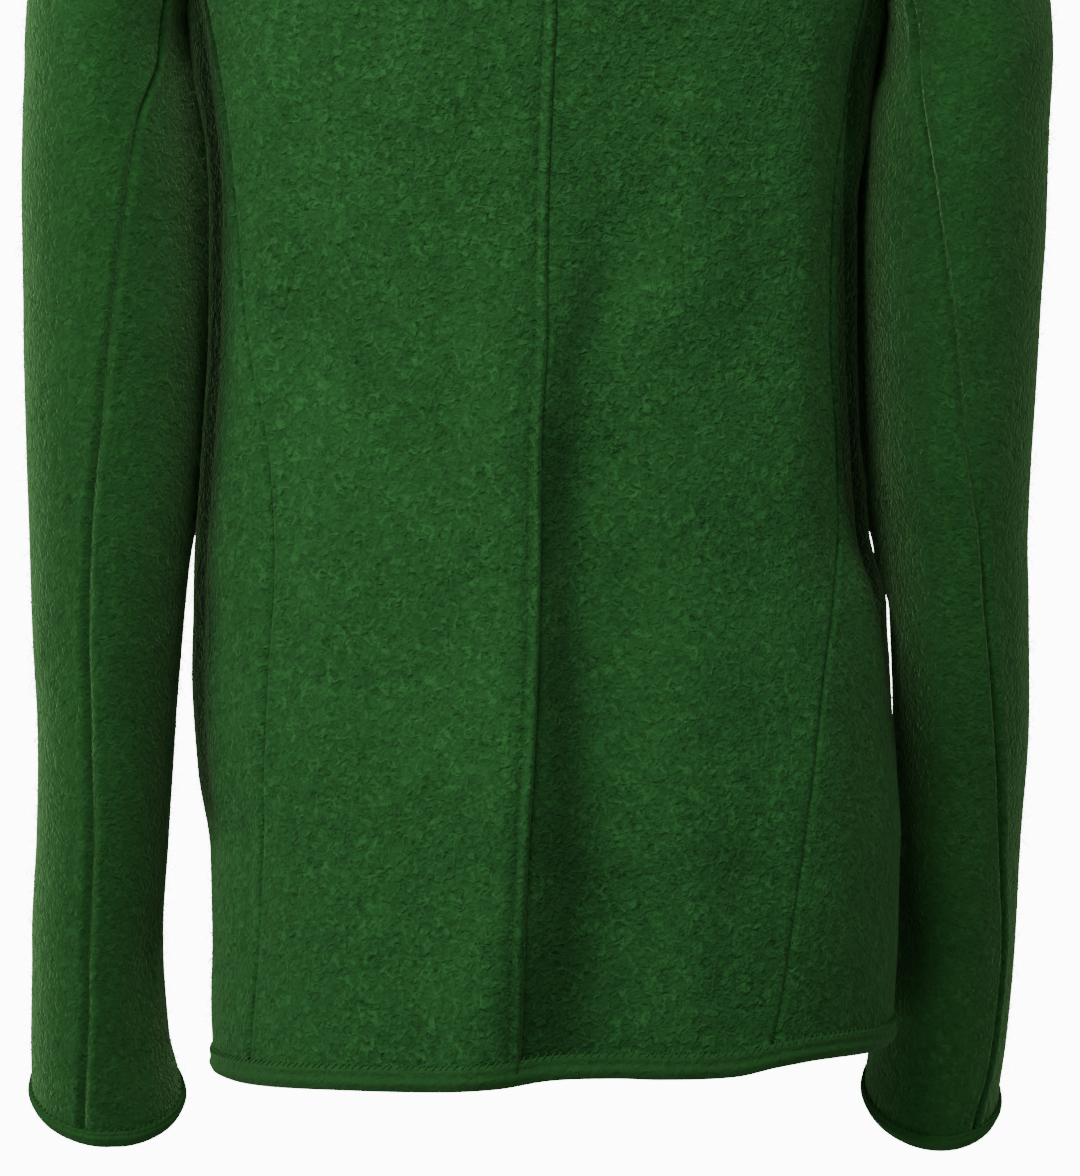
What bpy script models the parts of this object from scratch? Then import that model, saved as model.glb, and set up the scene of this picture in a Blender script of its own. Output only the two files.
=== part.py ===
"""Short fitted jacket of thick felted wool, filled out as worn, with its two-piece sleeves hanging.

Metres, +Z up. The jacket faces -Y and its back faces +Y, so the wearer's left arm is at +X.
The origin is at the middle of the neck, level with the shoulder seams at the neck.
Every body panel lies on one tube of rounded sections, read by angle and height: 0 degrees is the
left side, 90 the centre of the back, 180 the right side and 270 the front. Each panel is a wall
between its own seam lines on that tube.
"""

import math
from collections import namedtuple
from functools import lru_cache

import bmesh
import bpy
from mathutils import Vector

COLLECTION = "alpine_jacket"

WALL = 0.0025            # felted wool cloth
SEAM_GAP = 0.0003        # clear space between two sewn edges
BINDING_WALL = 0.0010    # thin strip folded over a raw edge
BINDING_GAP = 0.0004     # between that strip and the cloth inside it
HEM_BINDING = 0.0100     # height of the strip on the hem
CUFF_BINDING = 0.0060    # and on the cuffs

SHOULDER = -0.040        # height of the shoulder's end, at the top of the armhole
ARMPIT = -0.212          # height of the bottom of the armhole
ARMHOLE_BACK = 0.058     # how far the armhole reaches behind the side line
ARMHOLE_FRONT = 0.060
HEM_BACK = -0.6614       # height of the hem at the centre of the back
HEM_TILT = 0.052         # the hem hangs lower on the left: metres per metre across
NECK_BACK = -0.020       # height of the neck seam at the back, the shoulder and the front
NECK_SIDE = -0.006
NECK_FRONT = -0.072
NECK_HALF = 0.074        # its half width at the shoulders
NECK_DROP = 0.0015       # each front's corner lies this much lower, past the centre
NECK_TURNS = (14, 28, 42, 56, 69, 81)   # corners of the neck seam, degrees from the centre

OVERLAP = 0.015          # each front passes the centre by this much
UNDER_INSET = 0.0062     # the left front lies this far under the right one
INSET_RUN = 0.012        # and steps in over this width, beside the right front's edge
INSET_CLEAR = 0.005

COLLAR_HEIGHT = 0.034
COLLAR_LEAN = 0.006      # the collar's top leans in towards the neck
COLLAR_END = 0.002       # its ends stop short of the centre
COLLAR_TURN = 0.008      # how gently its foot turns up from the cloth
COLLAR_TOP_LEAN = 0.1    # lean at its top edge, as a share of its rise
COLLAR_LEVELS = (0.0, 0.15, 0.40, 0.70, 1.0)   # its rows, as shares of its height

BUTTON_COUNT = 6
BUTTON_RADIUS = 0.0105
BUTTON_TOP = -0.100      # height of the highest and the lowest button
BUTTON_BOTTOM = -0.560
BUTTON_STEPS = 18

BODY_ROWS = 22           # rows of faces from the hem's strip up to the armpit
ARM_ROWS = 6             # from there to the shoulder, along the armhole
BACK_COLUMNS = 9
LOWER_ARM_COLUMNS = 8    # along the lower armhole, on the side panel and the under sleeve
SLEEVE_ROWS = 22
CAP_STEPS = (0.05, 0.13, 0.24, 0.38, 0.55, 0.76)   # rows of the sleeve head, as shares of its way
CAP_LEAVE = 0.5          # how far the sleeve head keeps the way it sets off, as a share of its run
CAP_LEAVE_LEAST = 0.022
CAP_LAND = 0.8           # and the way it hangs, where it reaches the arm

FRONT_SHARES = (0.0, 0.13, 0.25, 0.36, 0.48, 0.61, 0.74, 0.87, 1.0)   # front columns from its edge

ANGLE_STEP = 0.02        # radians and metres between the places that a slope is read from
HEIGHT_STEP = 0.002
BISECTIONS = 40          # halvings when a place is searched for
SHARP_ANGLE = 50         # degrees between faces at an edge that stays crisp

Torso = namedtuple("Torso", "height centre half_width back front squareness")
TORSO = [
    Torso(-0.700, -0.0070, 0.1455, 0.1270, 0.1170, 2.30),
    Torso(-0.664, -0.0071, 0.1460, 0.1275, 0.1170, 2.30),
    Torso(-0.642, -0.0071, 0.1469, 0.1275, 0.1168, 2.30),
    Torso(-0.608, -0.0082, 0.1475, 0.1265, 0.1160, 2.30),
    Torso(-0.573, -0.0082, 0.1483, 0.1240, 0.1145, 2.30),
    Torso(-0.539, -0.0047, 0.1500, 0.1200, 0.1120, 2.30),
    Torso(-0.504, -0.0025, 0.1503, 0.1140, 0.1085, 2.30),
    Torso(-0.470, -0.0015, 0.1488, 0.1075, 0.1045, 2.30),
    Torso(-0.436, 0.0023, 0.1439, 0.1015, 0.1005, 2.32),
    Torso(-0.401, 0.0022, 0.1415, 0.0970, 0.0980, 2.35),
    Torso(-0.350, 0.0014, 0.1392, 0.0945, 0.0980, 2.38),
    Torso(-0.298, 0.0012, 0.1390, 0.0955, 0.1030, 2.40),
    Torso(-0.246, 0.0016, 0.1425, 0.0990, 0.1115, 2.40),
    Torso(-0.212, 0.0000, 0.1480, 0.1015, 0.1155, 2.38),
    Torso(-0.170, 0.0000, 0.1580, 0.1025, 0.1135, 2.35),
    Torso(-0.126, 0.0000, 0.1680, 0.1000, 0.1050, 2.30),
    Torso(-0.080, 0.0000, 0.1745, 0.0915, 0.0925, 2.25),
    Torso(-0.050, 0.0000, 0.1750, 0.0825, 0.0830, 2.20),
    Torso(-0.040, 0.0000, 0.1690, 0.0795, 0.0795, 2.18),
    Torso(-0.030, 0.0000, 0.1470, 0.0760, 0.0760, 2.12),
    Torso(-0.006, 0.0000, 0.0745, 0.0660, 0.0660, 2.00),
    Torso(0.010, 0.0000, 0.0450, 0.0620, 0.0620, 2.00),
]

# Distances from the centre plane of the seams: centre back, the curved seam beside it on each
# side, and the matching seam of the fronts.
Seams = namedtuple("Seams", "height centre_back back_left back_right front_left front_right")
SEAMS = [
    Seams(-0.700, 0.0065, 0.1235, -0.0965, 0.1000, -0.1080),
    Seams(-0.665, 0.0062, 0.1222, -0.0990, 0.1000, -0.1080),
    Seams(-0.632, 0.0052, 0.1205, -0.1035, 0.1000, -0.1080),
    Seams(-0.570, 0.0030, 0.1172, -0.1120, 0.1000, -0.1080),
    Seams(-0.505, -0.0004, 0.1155, -0.1190, 0.1000, -0.1030),
    Seams(-0.440, -0.0021, 0.1121, -0.1285, 0.0980, -0.0960),
    Seams(-0.400, -0.0024, 0.1142, -0.1275, 0.0970, -0.0940),
    Seams(-0.350, -0.0046, 0.1226, -0.1245, 0.0980, -0.0940),
    Seams(-0.300, -0.0052, 0.1270, -0.1255, 0.1040, -0.1000),
    Seams(-0.250, -0.0070, 0.1325, -0.1320, 0.1180, -0.1170),
    Seams(-0.212, -0.0085, 0.1395, -0.1385, 0.1330, -0.1330),
    Seams(-0.185, -0.0085, 0.1455, -0.1455, 0.1430, -0.1430),
    Seams(-0.150, -0.0070, 0.1520, -0.1520, 0.1520, -0.1520),
    Seams(-0.040, 0.0000, 0.1520, -0.1520, 0.1520, -0.1520),
    Seams(0.020, 0.0000, 0.1520, -0.1520, 0.1520, -0.1520),
]

# Soft troughs (negative) and ridges (positive) on the body, from one end to the other.
Fold = namedtuple("Fold", "angle_1 height_1 angle_2 height_2 spread lift")
BODY_FOLDS = [
    Fold(74, -0.215, 76, -0.520, 0.020, 0.0022),
    Fold(50, -0.240, 52, -0.370, 0.020, -0.0020),
    Fold(108, -0.290, 93, -0.365, 0.014, -0.0032),
    Fold(100, -0.425, 99, -0.640, 0.018, -0.0028),
    Fold(62, -0.470, 74, -0.525, 0.016, -0.0018),
    Fold(124, -0.300, 112, -0.350, 0.018, 0.0022),
    Fold(140, -0.480, 132, -0.640, 0.022, 0.0025),
    Fold(28, -0.470, 32, -0.640, 0.016, -0.0022),
    Fold(318, -0.300, 290, -0.350, 0.018, -0.0028),
    Fold(222, -0.300, 250, -0.345, 0.018, -0.0028),
    Fold(300, -0.450, 305, -0.640, 0.022, -0.0025),
    Fold(238, -0.460, 232, -0.640, 0.022, -0.0025),
]
FOLD_RADIUS = 0.125      # turns an angle on the body into a distance round it
FOLD_FADE = 0.4          # share of a fold's length over which each end dies away

Sleeve = namedtuple("Sleeve", "height centre half_width forward half_depth tilt back_seam front_seam")
LEFT_SLEEVE = [
    Sleeve(-0.230, 0.1856, 0.0338, 0.002, 0.0570, 0, 141, 226),
    Sleeve(-0.260, 0.1845, 0.0360, 0.003, 0.0565, 0, 118, 229),
    Sleeve(-0.298, 0.1828, 0.0382, 0.004, 0.0555, 0, 104, 231),
    Sleeve(-0.345, 0.1818, 0.0387, 0.005, 0.0540, 0, 93, 232),
    Sleeve(-0.390, 0.1821, 0.0377, 0.007, 0.0525, 1, 86, 232),
    Sleeve(-0.435, 0.1833, 0.0353, 0.010, 0.0510, 2, 80, 230),
    Sleeve(-0.480, 0.1850, 0.0326, 0.015, 0.0500, 4, 79, 229),
    Sleeve(-0.525, 0.1860, 0.0298, 0.021, 0.0490, 7, 82, 229),
    Sleeve(-0.570, 0.1882, 0.0288, 0.028, 0.0475, 10, 86, 230),
    Sleeve(-0.615, 0.1909, 0.0286, 0.035, 0.0460, 14, 87, 230),
    Sleeve(-0.655, 0.1902, 0.0302, 0.041, 0.0450, 18, 82, 228),
    Sleeve(-0.684, 0.1873, 0.0330, 0.046, 0.0450, 20, 75, 226),
]
RIGHT_SLEEVE = [
    Sleeve(-0.230, 0.1860, 0.0360, 0.002, 0.0570, 0, 133, 226),
    Sleeve(-0.260, 0.1822, 0.0384, 0.003, 0.0565, 0, 119, 228),
    Sleeve(-0.298, 0.1810, 0.0386, 0.005, 0.0555, 0, 107, 228),
    Sleeve(-0.345, 0.1805, 0.0365, 0.008, 0.0540, 0, 96, 226),
    Sleeve(-0.390, 0.1805, 0.0342, 0.013, 0.0525, 1, 88, 222),
    Sleeve(-0.435, 0.1818, 0.0312, 0.020, 0.0510, 3, 75, 218),
    Sleeve(-0.480, 0.1838, 0.0302, 0.030, 0.0500, 6, 69, 214),
    Sleeve(-0.525, 0.1852, 0.0296, 0.043, 0.0490, 9, 62, 210),
    Sleeve(-0.570, 0.1835, 0.0288, 0.056, 0.0475, 12, 51, 204),
    Sleeve(-0.615, 0.1822, 0.0285, 0.067, 0.0460, 16, 42, 198),
    Sleeve(-0.655, 0.1785, 0.0292, 0.075, 0.0450, 19, 45, 198),
    Sleeve(-0.689, 0.1745, 0.0296, 0.081, 0.0450, 21, 56, 206),
]
SLEEVES = {1: LEFT_SLEEVE, -1: RIGHT_SLEEVE}

# Troughs across the inner bend of the elbow and round the sleeve, and the inner front's bulge
# beside the waist, in the same columns.
SLEEVE_FOLDS = {
    1: [
        Fold(250, -0.400, 215, -0.425, 0.012, -0.0022),
        Fold(285, -0.440, 235, -0.455, 0.012, -0.0024),
        Fold(40, -0.480, 85, -0.500, 0.016, -0.0012),
        Fold(150, -0.600, 120, -0.660, 0.010, -0.0020),
        Fold(208, -0.212, 212, -0.340, 0.017, 0.0092),
        Fold(212, -0.340, 212, -0.440, 0.015, 0.0074),
    ],
    -1: [
        Fold(255, -0.395, 215, -0.420, 0.012, -0.0024),
        Fold(290, -0.435, 240, -0.450, 0.012, -0.0022),
        Fold(20, -0.430, 70, -0.470, 0.016, -0.0014),
        Fold(212, -0.214, 212, -0.320, 0.015, 0.0105),
        Fold(212, -0.320, 208, -0.428, 0.017, 0.0112),
        Fold(200, -0.424, 200, -0.462, 0.018, 0.0060),
    ],
}
SLEEVE_FOLD_RADIUS = 0.042

# The way the sleeve head sets off, over, beside and under the arm: on along the body's cloth, out
# sideways and down.
CapWay = namedtuple("CapWay", "along sideways down")
CAP_OVER = CapWay(1.00, 0.00, 0.00)
CAP_BESIDE = CapWay(0.40, 0.80, 0.45)
CAP_UNDER = CapWay(0.90, 0.35, 0.00)

# Section of a button from its middle out over the rim and back to its shank.
Turned = namedtuple("Turned", "radius height")
BUTTON_PROFILE = [
    Turned(0.0, 0.0052),
    Turned(0.35 * BUTTON_RADIUS, 0.0049),
    Turned(0.74 * BUTTON_RADIUS, 0.0046),
    Turned(0.86 * BUTTON_RADIUS, 0.0056),
    Turned(0.97 * BUTTON_RADIUS, 0.0052),
    Turned(BUTTON_RADIUS, 0.0042),
    Turned(0.90 * BUTTON_RADIUS, 0.0032),
    Turned(0.34 * BUTTON_RADIUS, 0.0026),
    Turned(0.30 * BUTTON_RADIUS, 0.0004),
    Turned(0.0, 0.0004),
]

Finish = namedtuple("Finish", "colour roughness metallic")
WOOL = Finish((0.0152, 0.0685, 0.0157, 1.0), 0.95, 0.0)
BOUND_EDGE = Finish((0.0185, 0.0770, 0.0190, 1.0), 0.90, 0.0)
BUTTON_METAL = Finish((0.30, 0.29, 0.27, 1.0), 0.42, 1.0)


# ---------------------------------------------------------------- reading the tables

@lru_cache(maxsize=None)
def read_rows(rows, height):
    """All columns of a table at one height, on smooth curves that never overshoot the rows."""
    low = max(i for i in range(len(rows) - 1) if i == 0 or rows[i].height <= height)
    span = rows[low + 1].height - rows[low].height
    share = min(max((height - rows[low].height) / span, 0.0), 1.0)
    square, cube = share ** 2, share ** 3
    values = []
    for column in range(len(rows[0])):
        start, end = rows[low][column], rows[low + 1][column]
        slope_1 = row_slope(rows, low, column) * span
        slope_2 = row_slope(rows, low + 1, column) * span
        values.append((2 * cube - 3 * square + 1) * start + (cube - 2 * square + share) * slope_1
                      + (3 * square - 2 * cube) * end + (cube - square) * slope_2)
    return type(rows[0])(*values)


def row_slope(rows, index, column):
    """Slope of a column at one row: flat where it turns, else the gentler mean of its sides."""
    if index == 0 or index == len(rows) - 1:
        return 0.0
    before, here, after = rows[index - 1], rows[index], rows[index + 1]
    slope_1 = (here[column] - before[column]) / (here.height - before.height)
    slope_2 = (after[column] - here[column]) / (after.height - here.height)
    if slope_1 * slope_2 <= 0:
        return 0.0
    return 2 * slope_1 * slope_2 / (slope_1 + slope_2)


def rising(rows):
    """A table as a tuple ordered from its lowest row up."""
    return tuple(sorted(rows, key=lambda row: row.height))


TORSO_SECTIONS = rising(TORSO)
SEAM_SECTIONS = rising(SEAMS)
SLEEVE_SECTIONS = {side: rising(rows) for side, rows in SLEEVES.items()}


def smooth(share):
    """Eases from 0 to 1 as share goes from 0 to 1."""
    share = min(max(share, 0.0), 1.0)
    return share * share * (3 - 2 * share)


def signed_power(value, power):
    return math.copysign(abs(value) ** power, value)


def blend(start, end, share):
    return start + (end - start) * share


# ---------------------------------------------------------------- the body's tube

def fold_lift(folds, radius, angle, height):
    """Sum of the soft ridges and troughs at one place, angles in degrees."""
    total = 0.0
    for fold in folds:
        along_x = radius * math.radians(fold.angle_2 - fold.angle_1)
        along_z = fold.height_2 - fold.height_1
        turn = (angle - fold.angle_1 + 180) % 360 - 180
        here_x = radius * math.radians(turn)
        here_z = height - fold.height_1
        length = math.hypot(along_x, along_z)
        share = (here_x * along_x + here_z * along_z) / length ** 2
        side = abs(here_x * along_z - here_z * along_x) / length
        ends = smooth(share / FOLD_FADE + 0.5) * smooth((1 - share) / FOLD_FADE + 0.5)
        total += fold.lift * ends * math.exp(-(side / fold.spread) ** 2)
    return total


@lru_cache(maxsize=None)
def torso_point(angle, height):
    """A point of the body's outer surface; angle in radians."""
    row = read_rows(TORSO_SECTIONS, height)
    power = 2 / row.squareness
    depth = row.back if math.sin(angle) >= 0 else row.front
    lift = fold_lift(BODY_FOLDS, FOLD_RADIUS, math.degrees(angle), height)
    across = row.half_width + lift
    return Vector((row.centre + across * signed_power(math.cos(angle), power),
                   (depth + lift) * signed_power(math.sin(angle), power), height))


@lru_cache(maxsize=None)
def torso_frame(angle, height):
    """A point of the body's outer surface with its outward normal."""
    round_way = torso_point(angle + ANGLE_STEP, height) - torso_point(angle - ANGLE_STEP, height)
    up_way = torso_point(angle, height + HEIGHT_STEP) - torso_point(angle, height - HEIGHT_STEP)
    return torso_point(angle, height), round_way.cross(up_way).normalized()


def angle_at(across, height, front=False):
    """Angle, in radians, of the place on the back or the front at a distance from the centre."""
    row = read_rows(TORSO_SECTIONS, height)
    share = min(max((across - row.centre) / row.half_width, -1.0), 1.0)
    angle = math.acos(signed_power(share, row.squareness / 2))
    return 2 * math.pi - angle if front else angle


def hem_height(angle):
    """The hem, which hangs a little lower on the left than on the right."""
    row = read_rows(TORSO_SECTIONS, HEM_BACK)
    return HEM_BACK - HEM_TILT * row.half_width * math.cos(angle)


def tilted(height, angle):
    """Carries the hem's tilt up the body, fading out at the armpits."""
    share = (ARMPIT - height) / (ARMPIT - HEM_BACK)
    return height + (hem_height(angle) - HEM_BACK) * smooth(share)


def shoulder_height(across, ahead, front):
    """Height of the body's surface at a place seen from above, between the neck and the chest."""
    low, high = NECK_FRONT, NECK_SIDE
    for _ in range(BISECTIONS):
        middle = (low + high) / 2
        row = read_rows(TORSO_SECTIONS, middle)
        depth = row.front if front else row.back
        share = (across / row.half_width) ** row.squareness + (ahead / depth) ** row.squareness
        low, high = (middle, high) if share < 1 else (low, middle)
    return middle


def neck_corners(side, front):
    """Height and angle of the neck seam's corners on one quarter, from the centre outwards.

    From above, the seam is half an oval behind and a longer half in front.
    """
    dip = NECK_FRONT if front else NECK_BACK
    row = read_rows(TORSO_SECTIONS, dip)
    reach = row.front if front else row.back
    corners = [(dip, angle_at(0.0, dip, front))]
    for degrees in NECK_TURNS:
        turn = math.radians(degrees)
        across = NECK_HALF * math.sin(turn)
        height = shoulder_height(across, reach * math.cos(turn), front)
        corners.append((height, angle_at(side * across, height, front)))
    return corners + [(NECK_SIDE, angle_at(side * NECK_HALF, NECK_SIDE, front))]


def seam_angle(name, height):
    front = name.startswith("front")
    return angle_at(getattr(read_rows(SEAM_SECTIONS, height), name), height, front)


# ---------------------------------------------------------------- the armholes

def armhole_height(turn):
    """Height on the armhole; turn is 0 at the shoulder, 90 degrees behind and 180 underneath."""
    return blend(ARMPIT, SHOULDER, 0.5 + 0.5 * math.cos(turn))


def armhole_angle(turn, side):
    """Angle on the body of that place."""
    reach = ARMHOLE_BACK if math.sin(turn) >= 0 else ARMHOLE_FRONT
    row = read_rows(TORSO_SECTIONS, armhole_height(turn))
    depth = row.back if math.sin(turn) >= 0 else row.front
    share = reach * math.sin(turn) / depth
    angle = math.asin(signed_power(share, row.squareness / 2))
    return angle % (2 * math.pi) if side > 0 else math.pi - angle


def armhole_join(side, front):
    """Turn at which the seam beside the back, or beside the front, runs into the armhole."""
    name = ("front_" if front else "back_") + ("left" if side > 0 else "right")
    low, high = (math.radians(100), math.pi)
    for _ in range(BISECTIONS):
        middle = (low + high) / 2
        turn = -middle if front else middle
        height = armhole_height(turn)
        seam = math.cos(seam_angle(name, height)) * side
        edge = math.cos(armhole_angle(turn, side)) * side
        low, high = (low, middle) if seam < edge else (middle, high)
    return -middle if front else middle


def armhole_turns(side):
    """Turns of the armhole's corners: over the top from front to back, then underneath."""
    back, front = armhole_join(side, False), armhole_join(side, True)
    over = [blend(front, 0, i / ARM_ROWS) for i in range(ARM_ROWS)]
    over += [blend(0, back, i / ARM_ROWS) for i in range(ARM_ROWS + 1)]
    under = [blend(back, front + 2 * math.pi, i / LOWER_ARM_COLUMNS)
             for i in range(LOWER_ARM_COLUMNS + 1)]
    return over, under


def armhole_frame(turn, side):
    """Point on the body at the armhole's edge, its normal, and the way into the hole."""
    point, normal = torso_frame(armhole_angle(turn, side), armhole_height(turn))
    ahead, behind = [torso_point(armhole_angle(place, side), armhole_height(place))
                     for place in (turn + ANGLE_STEP, turn - ANGLE_STEP)]
    into = (ahead - behind).cross(normal).normalized() * side
    return point, normal, into


# ---------------------------------------------------------------- walls and objects

def make_material(name, finish):
    material = bpy.data.materials.new(name)
    material.use_nodes = True
    shader = material.node_tree.nodes["Principled BSDF"]
    shader.inputs["Base Color"].default_value = finish.colour
    shader.inputs["Roughness"].default_value = finish.roughness
    shader.inputs["Metallic"].default_value = finish.metallic
    return material


def add_object(name, mesh, finish):
    """Puts a mesh in the collection as a sub-part with its own material."""
    thing = bpy.data.objects.new(name, mesh)
    bpy.data.collections[COLLECTION].objects.link(thing)
    mesh.materials.append(make_material(name, finish))
    return thing


def add_wall(name, outer, normals, finish):
    """A cloth wall behind rows of outer points, closed along all four of its cut edges."""
    shape = bmesh.new()
    front, back = [], []
    for points, ways in zip(outer, normals):
        front.append([shape.verts.new(point) for point in points])
        back.append([shape.verts.new(point - way * WALL) for point, way in zip(points, ways)])
    last_row, last_column = len(front) - 1, len(front[0]) - 1
    for i in range(last_row):
        for j in range(last_column):
            for face in (front, back):
                shape.faces.new((face[i][j], face[i][j + 1], face[i + 1][j + 1], face[i + 1][j]))
    for j in (0, last_column):
        for i in range(last_row):
            add_cut_edge(shape, front[i][j], back[i][j], front[i + 1][j], back[i + 1][j])
    for i in (0, last_row):
        for j in range(last_column):
            add_cut_edge(shape, front[i][j], back[i][j], front[i][j + 1], back[i][j + 1])
    return add_shape(name, shape, finish)


def add_cut_edge(shape, front_1, back_1, front_2, back_2):
    """Two faces across a cut edge, split the same way on both pieces that meet there."""
    if front_1.co.z < front_2.co.z:
        front_1, back_1, front_2, back_2 = front_2, back_2, front_1, back_1
    shape.faces.new((front_1, front_2, back_2))
    shape.faces.new((front_1, back_2, back_1))


def add_shape(name, shape, finish):
    bmesh.ops.recalc_face_normals(shape, faces=shape.faces)
    mesh = bpy.data.meshes.new(name)
    shape.to_mesh(mesh)
    shape.free()
    mesh.shade_smooth()
    mesh.set_sharp_from_angle(angle=math.radians(SHARP_ANGLE))
    return add_object(name, mesh, finish)


# ---------------------------------------------------------------- body panels

def body_heights(top):
    """Heights of a body panel's rows from the hem's strip to the top, at the hem's middle."""
    first = HEM_BACK + HEM_BINDING
    return [blend(first, top, i / BODY_ROWS) for i in range(BODY_ROWS + 1)]


def read_edge(below, corners, height):
    """Angle of an edge: a smooth seam below its first corner, and straight runs above it."""
    if height <= corners[0][0]:
        return below(height)
    for (low, angle_low), (high, angle_high) in zip(corners, corners[1:]):
        if height <= high:
            return blend(angle_low, angle_high, (height - low) / (high - low))
    return corners[-1][1]


def outer_corners(side, front):
    """Corners of a panel's outer edge: up the armhole to the shoulder, then along its seam."""
    join = armhole_join(side, front)
    corners = []
    for i in range(ARM_ROWS + 1):
        turn = blend(join, 0, i / ARM_ROWS)
        corners.append((armhole_height(turn), outer_angle(turn, side, front)))
    return corners + [(NECK_SIDE, corners[-1][1])]


def outer_angle(turn, side, front):
    """Angle of the armhole's edge, counted on from the front on the left side."""
    angle = armhole_angle(turn, side)
    return angle + 2 * math.pi if front and side > 0 and angle < math.pi else angle


def panel_rows(centre_edge, centre_corners, seam_name, shares, side):
    """Angles and heights of a back or front panel, from the hem to the neck.

    Its centre edge runs up to the neck seam's corners, and its outer edge up the seam beside the
    side panel, the armhole and the shoulder.
    """
    outer = outer_corners(side, seam_name.startswith("front"))
    join_height = outer[0][0]
    heights = [HEM_BACK] + body_heights(join_height)
    heights += sorted(height for height, _ in outer[1:-1] + centre_corners)
    rows = []
    for height in heights:
        start = read_edge(centre_edge, centre_corners, height)
        end = read_edge(lambda place: seam_angle(seam_name, place), outer, height)
        angles = [blend(start, end, share) for share in shares]
        rows.append([(angle, tilted(height, angle)) for angle in angles])
    return rows, heights, outer


def straighten(outer, normals, column, heights, corners):
    """Keeps an edge straight between its corners, as the piece sewn to it is."""
    places = [heights.index(height) for height, _ in corners if height in heights]
    for low, high in zip(places, places[1:]):
        for i in range(low + 1, high):
            share = (heights[i] - heights[low]) / (heights[high] - heights[low])
            outer[i][column] = blend(outer[low][column], outer[high][column], share)
            normals[i][column] = blend(normals[low][column], normals[high][column], share)


def nudge(rows, column, distance):
    """Moves one edge of a panel along the cloth, to leave its share of the seam's gap."""
    moved = []
    for row in rows:
        row = list(row)
        angle, height = row[column]
        point = torso_point(angle, height)
        reach = (torso_point(angle + ANGLE_STEP, height) - point).length / ANGLE_STEP
        row[column] = (angle + distance / reach, height)
        moved.append(row)
    return moved


def inset_at(point, front_under):
    """How far the left front lies inside the tube near the centre."""
    if not front_under:
        return 0.0
    start = OVERLAP + INSET_CLEAR + INSET_RUN
    return UNDER_INSET * smooth((start - point.x) / INSET_RUN)


def lay_on_torso(rows, front_under=False):
    """Outer points and normals of rows of (angle, height)."""
    outer, normals = [], []
    for row in rows:
        frames = [torso_frame(angle, height) for angle, height in row]
        outer.append([point - normal * inset_at(point, front_under) for point, normal in frames])
        normals.append([normal for _, normal in frames])
    return outer, normals


def even_shares(count):
    return [i / count for i in range(count + 1)]


def front_edge(height, side):
    """Angle of a front's free edge, which passes the centre to the other side."""
    return angle_at(-side * OVERLAP, height, front=True)


def build_back(side):
    """One half of the back, from the centre seam to the side panel, armhole and shoulder."""
    name = "left" if side > 0 else "right"
    neck = neck_corners(side, False)
    rows, heights, edge = panel_rows(lambda height: seam_angle("centre_back", height), neck,
                                     "back_" + name, even_shares(BACK_COLUMNS), side)
    rows = nudge(rows, 0, -side * SEAM_GAP / 2)
    rows = nudge(rows, -1, side * SEAM_GAP / 2)
    outer, normals = lay_on_torso(rows)
    straighten(outer, normals, 0, heights, neck)
    straighten(outer, normals, -1, heights, edge)
    return add_wall("back_" + name, outer, normals, WOOL)


def build_front(side):
    """One front, from its free edge to the side panel, armhole and shoulder."""
    name = "left" if side > 0 else "right"
    corner = (NECK_FRONT - NECK_DROP, front_edge(NECK_FRONT - NECK_DROP, side))
    neck = [corner] + neck_corners(side, True)
    rows, heights, edge = panel_rows(lambda height: front_edge(height, side), neck,
                                     "front_" + name, FRONT_SHARES, side)
    rows = nudge(rows, -1, -side * SEAM_GAP / 2)
    outer, normals = lay_on_torso(rows, front_under=side > 0)
    straighten(outer, normals, 0, heights, neck)
    straighten(outer, normals, -1, heights, edge)
    return add_wall("front_" + name, outer, normals, WOOL)


@lru_cache(maxsize=None)
def side_columns(side):
    """Top height of each column of a side panel, on the lower armhole, and its share across."""
    name = "left" if side > 0 else "right"
    columns = []
    for turn in armhole_turns(side)[1]:
        top = armhole_height(turn)
        back, front = side_seams(name, top, side)
        angle = side_turned(armhole_angle(turn, side), side)
        columns.append((top, (angle - back) / (front - back)))
    return columns


def side_rows(side):
    """Rows of a side panel, whose top follows the lower armhole."""
    name = "left" if side > 0 else "right"
    rows = []
    for level in range(-1, BODY_ROWS + 1):
        row = []
        for top, share in side_columns(side):
            height = HEM_BACK if level < 0 else body_heights(top)[level]
            back, front = side_seams(name, height, side)
            angle = blend(back, front, share)
            row.append((angle, tilted(height, angle)))
        rows.append(row)
    return rows


def side_turned(angle, side):
    """Keeps the left side's angles running on from the back through 0 to the front."""
    return angle - 2 * math.pi if side > 0 and angle > math.pi else angle


def side_seams(name, height, side):
    back = seam_angle("back_" + name, height)
    front = side_turned(seam_angle("front_" + name, height), side)
    return back, front


def build_side(side):
    """The side panel, under the arm."""
    name = "left" if side > 0 else "right"
    rows = side_rows(side)
    rows = nudge(rows, 0, -side * SEAM_GAP / 2)
    rows = nudge(rows, -1, side * SEAM_GAP / 2)
    return add_wall("side_" + name, *lay_on_torso(rows), WOOL)


# ---------------------------------------------------------------- sleeves

def sleeve_row(side, height):
    return read_rows(SLEEVE_SECTIONS[side], height)


@lru_cache(maxsize=None)
def sleeve_point(side, turn, height):
    """A point of the sleeve's outer surface; turn is 0 outside, 90 degrees behind, 180 inside."""
    row = sleeve_row(side, height)
    lift = fold_lift(SLEEVE_FOLDS[side], SLEEVE_FOLD_RADIUS, math.degrees(turn), height)
    across = (row.half_width + lift) * math.cos(turn)
    behind = (row.half_depth + lift) * math.sin(turn)
    drop = behind * math.tan(math.radians(row.tilt))
    return Vector((side * (row.centre + across), behind - row.forward, height - drop))


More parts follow.
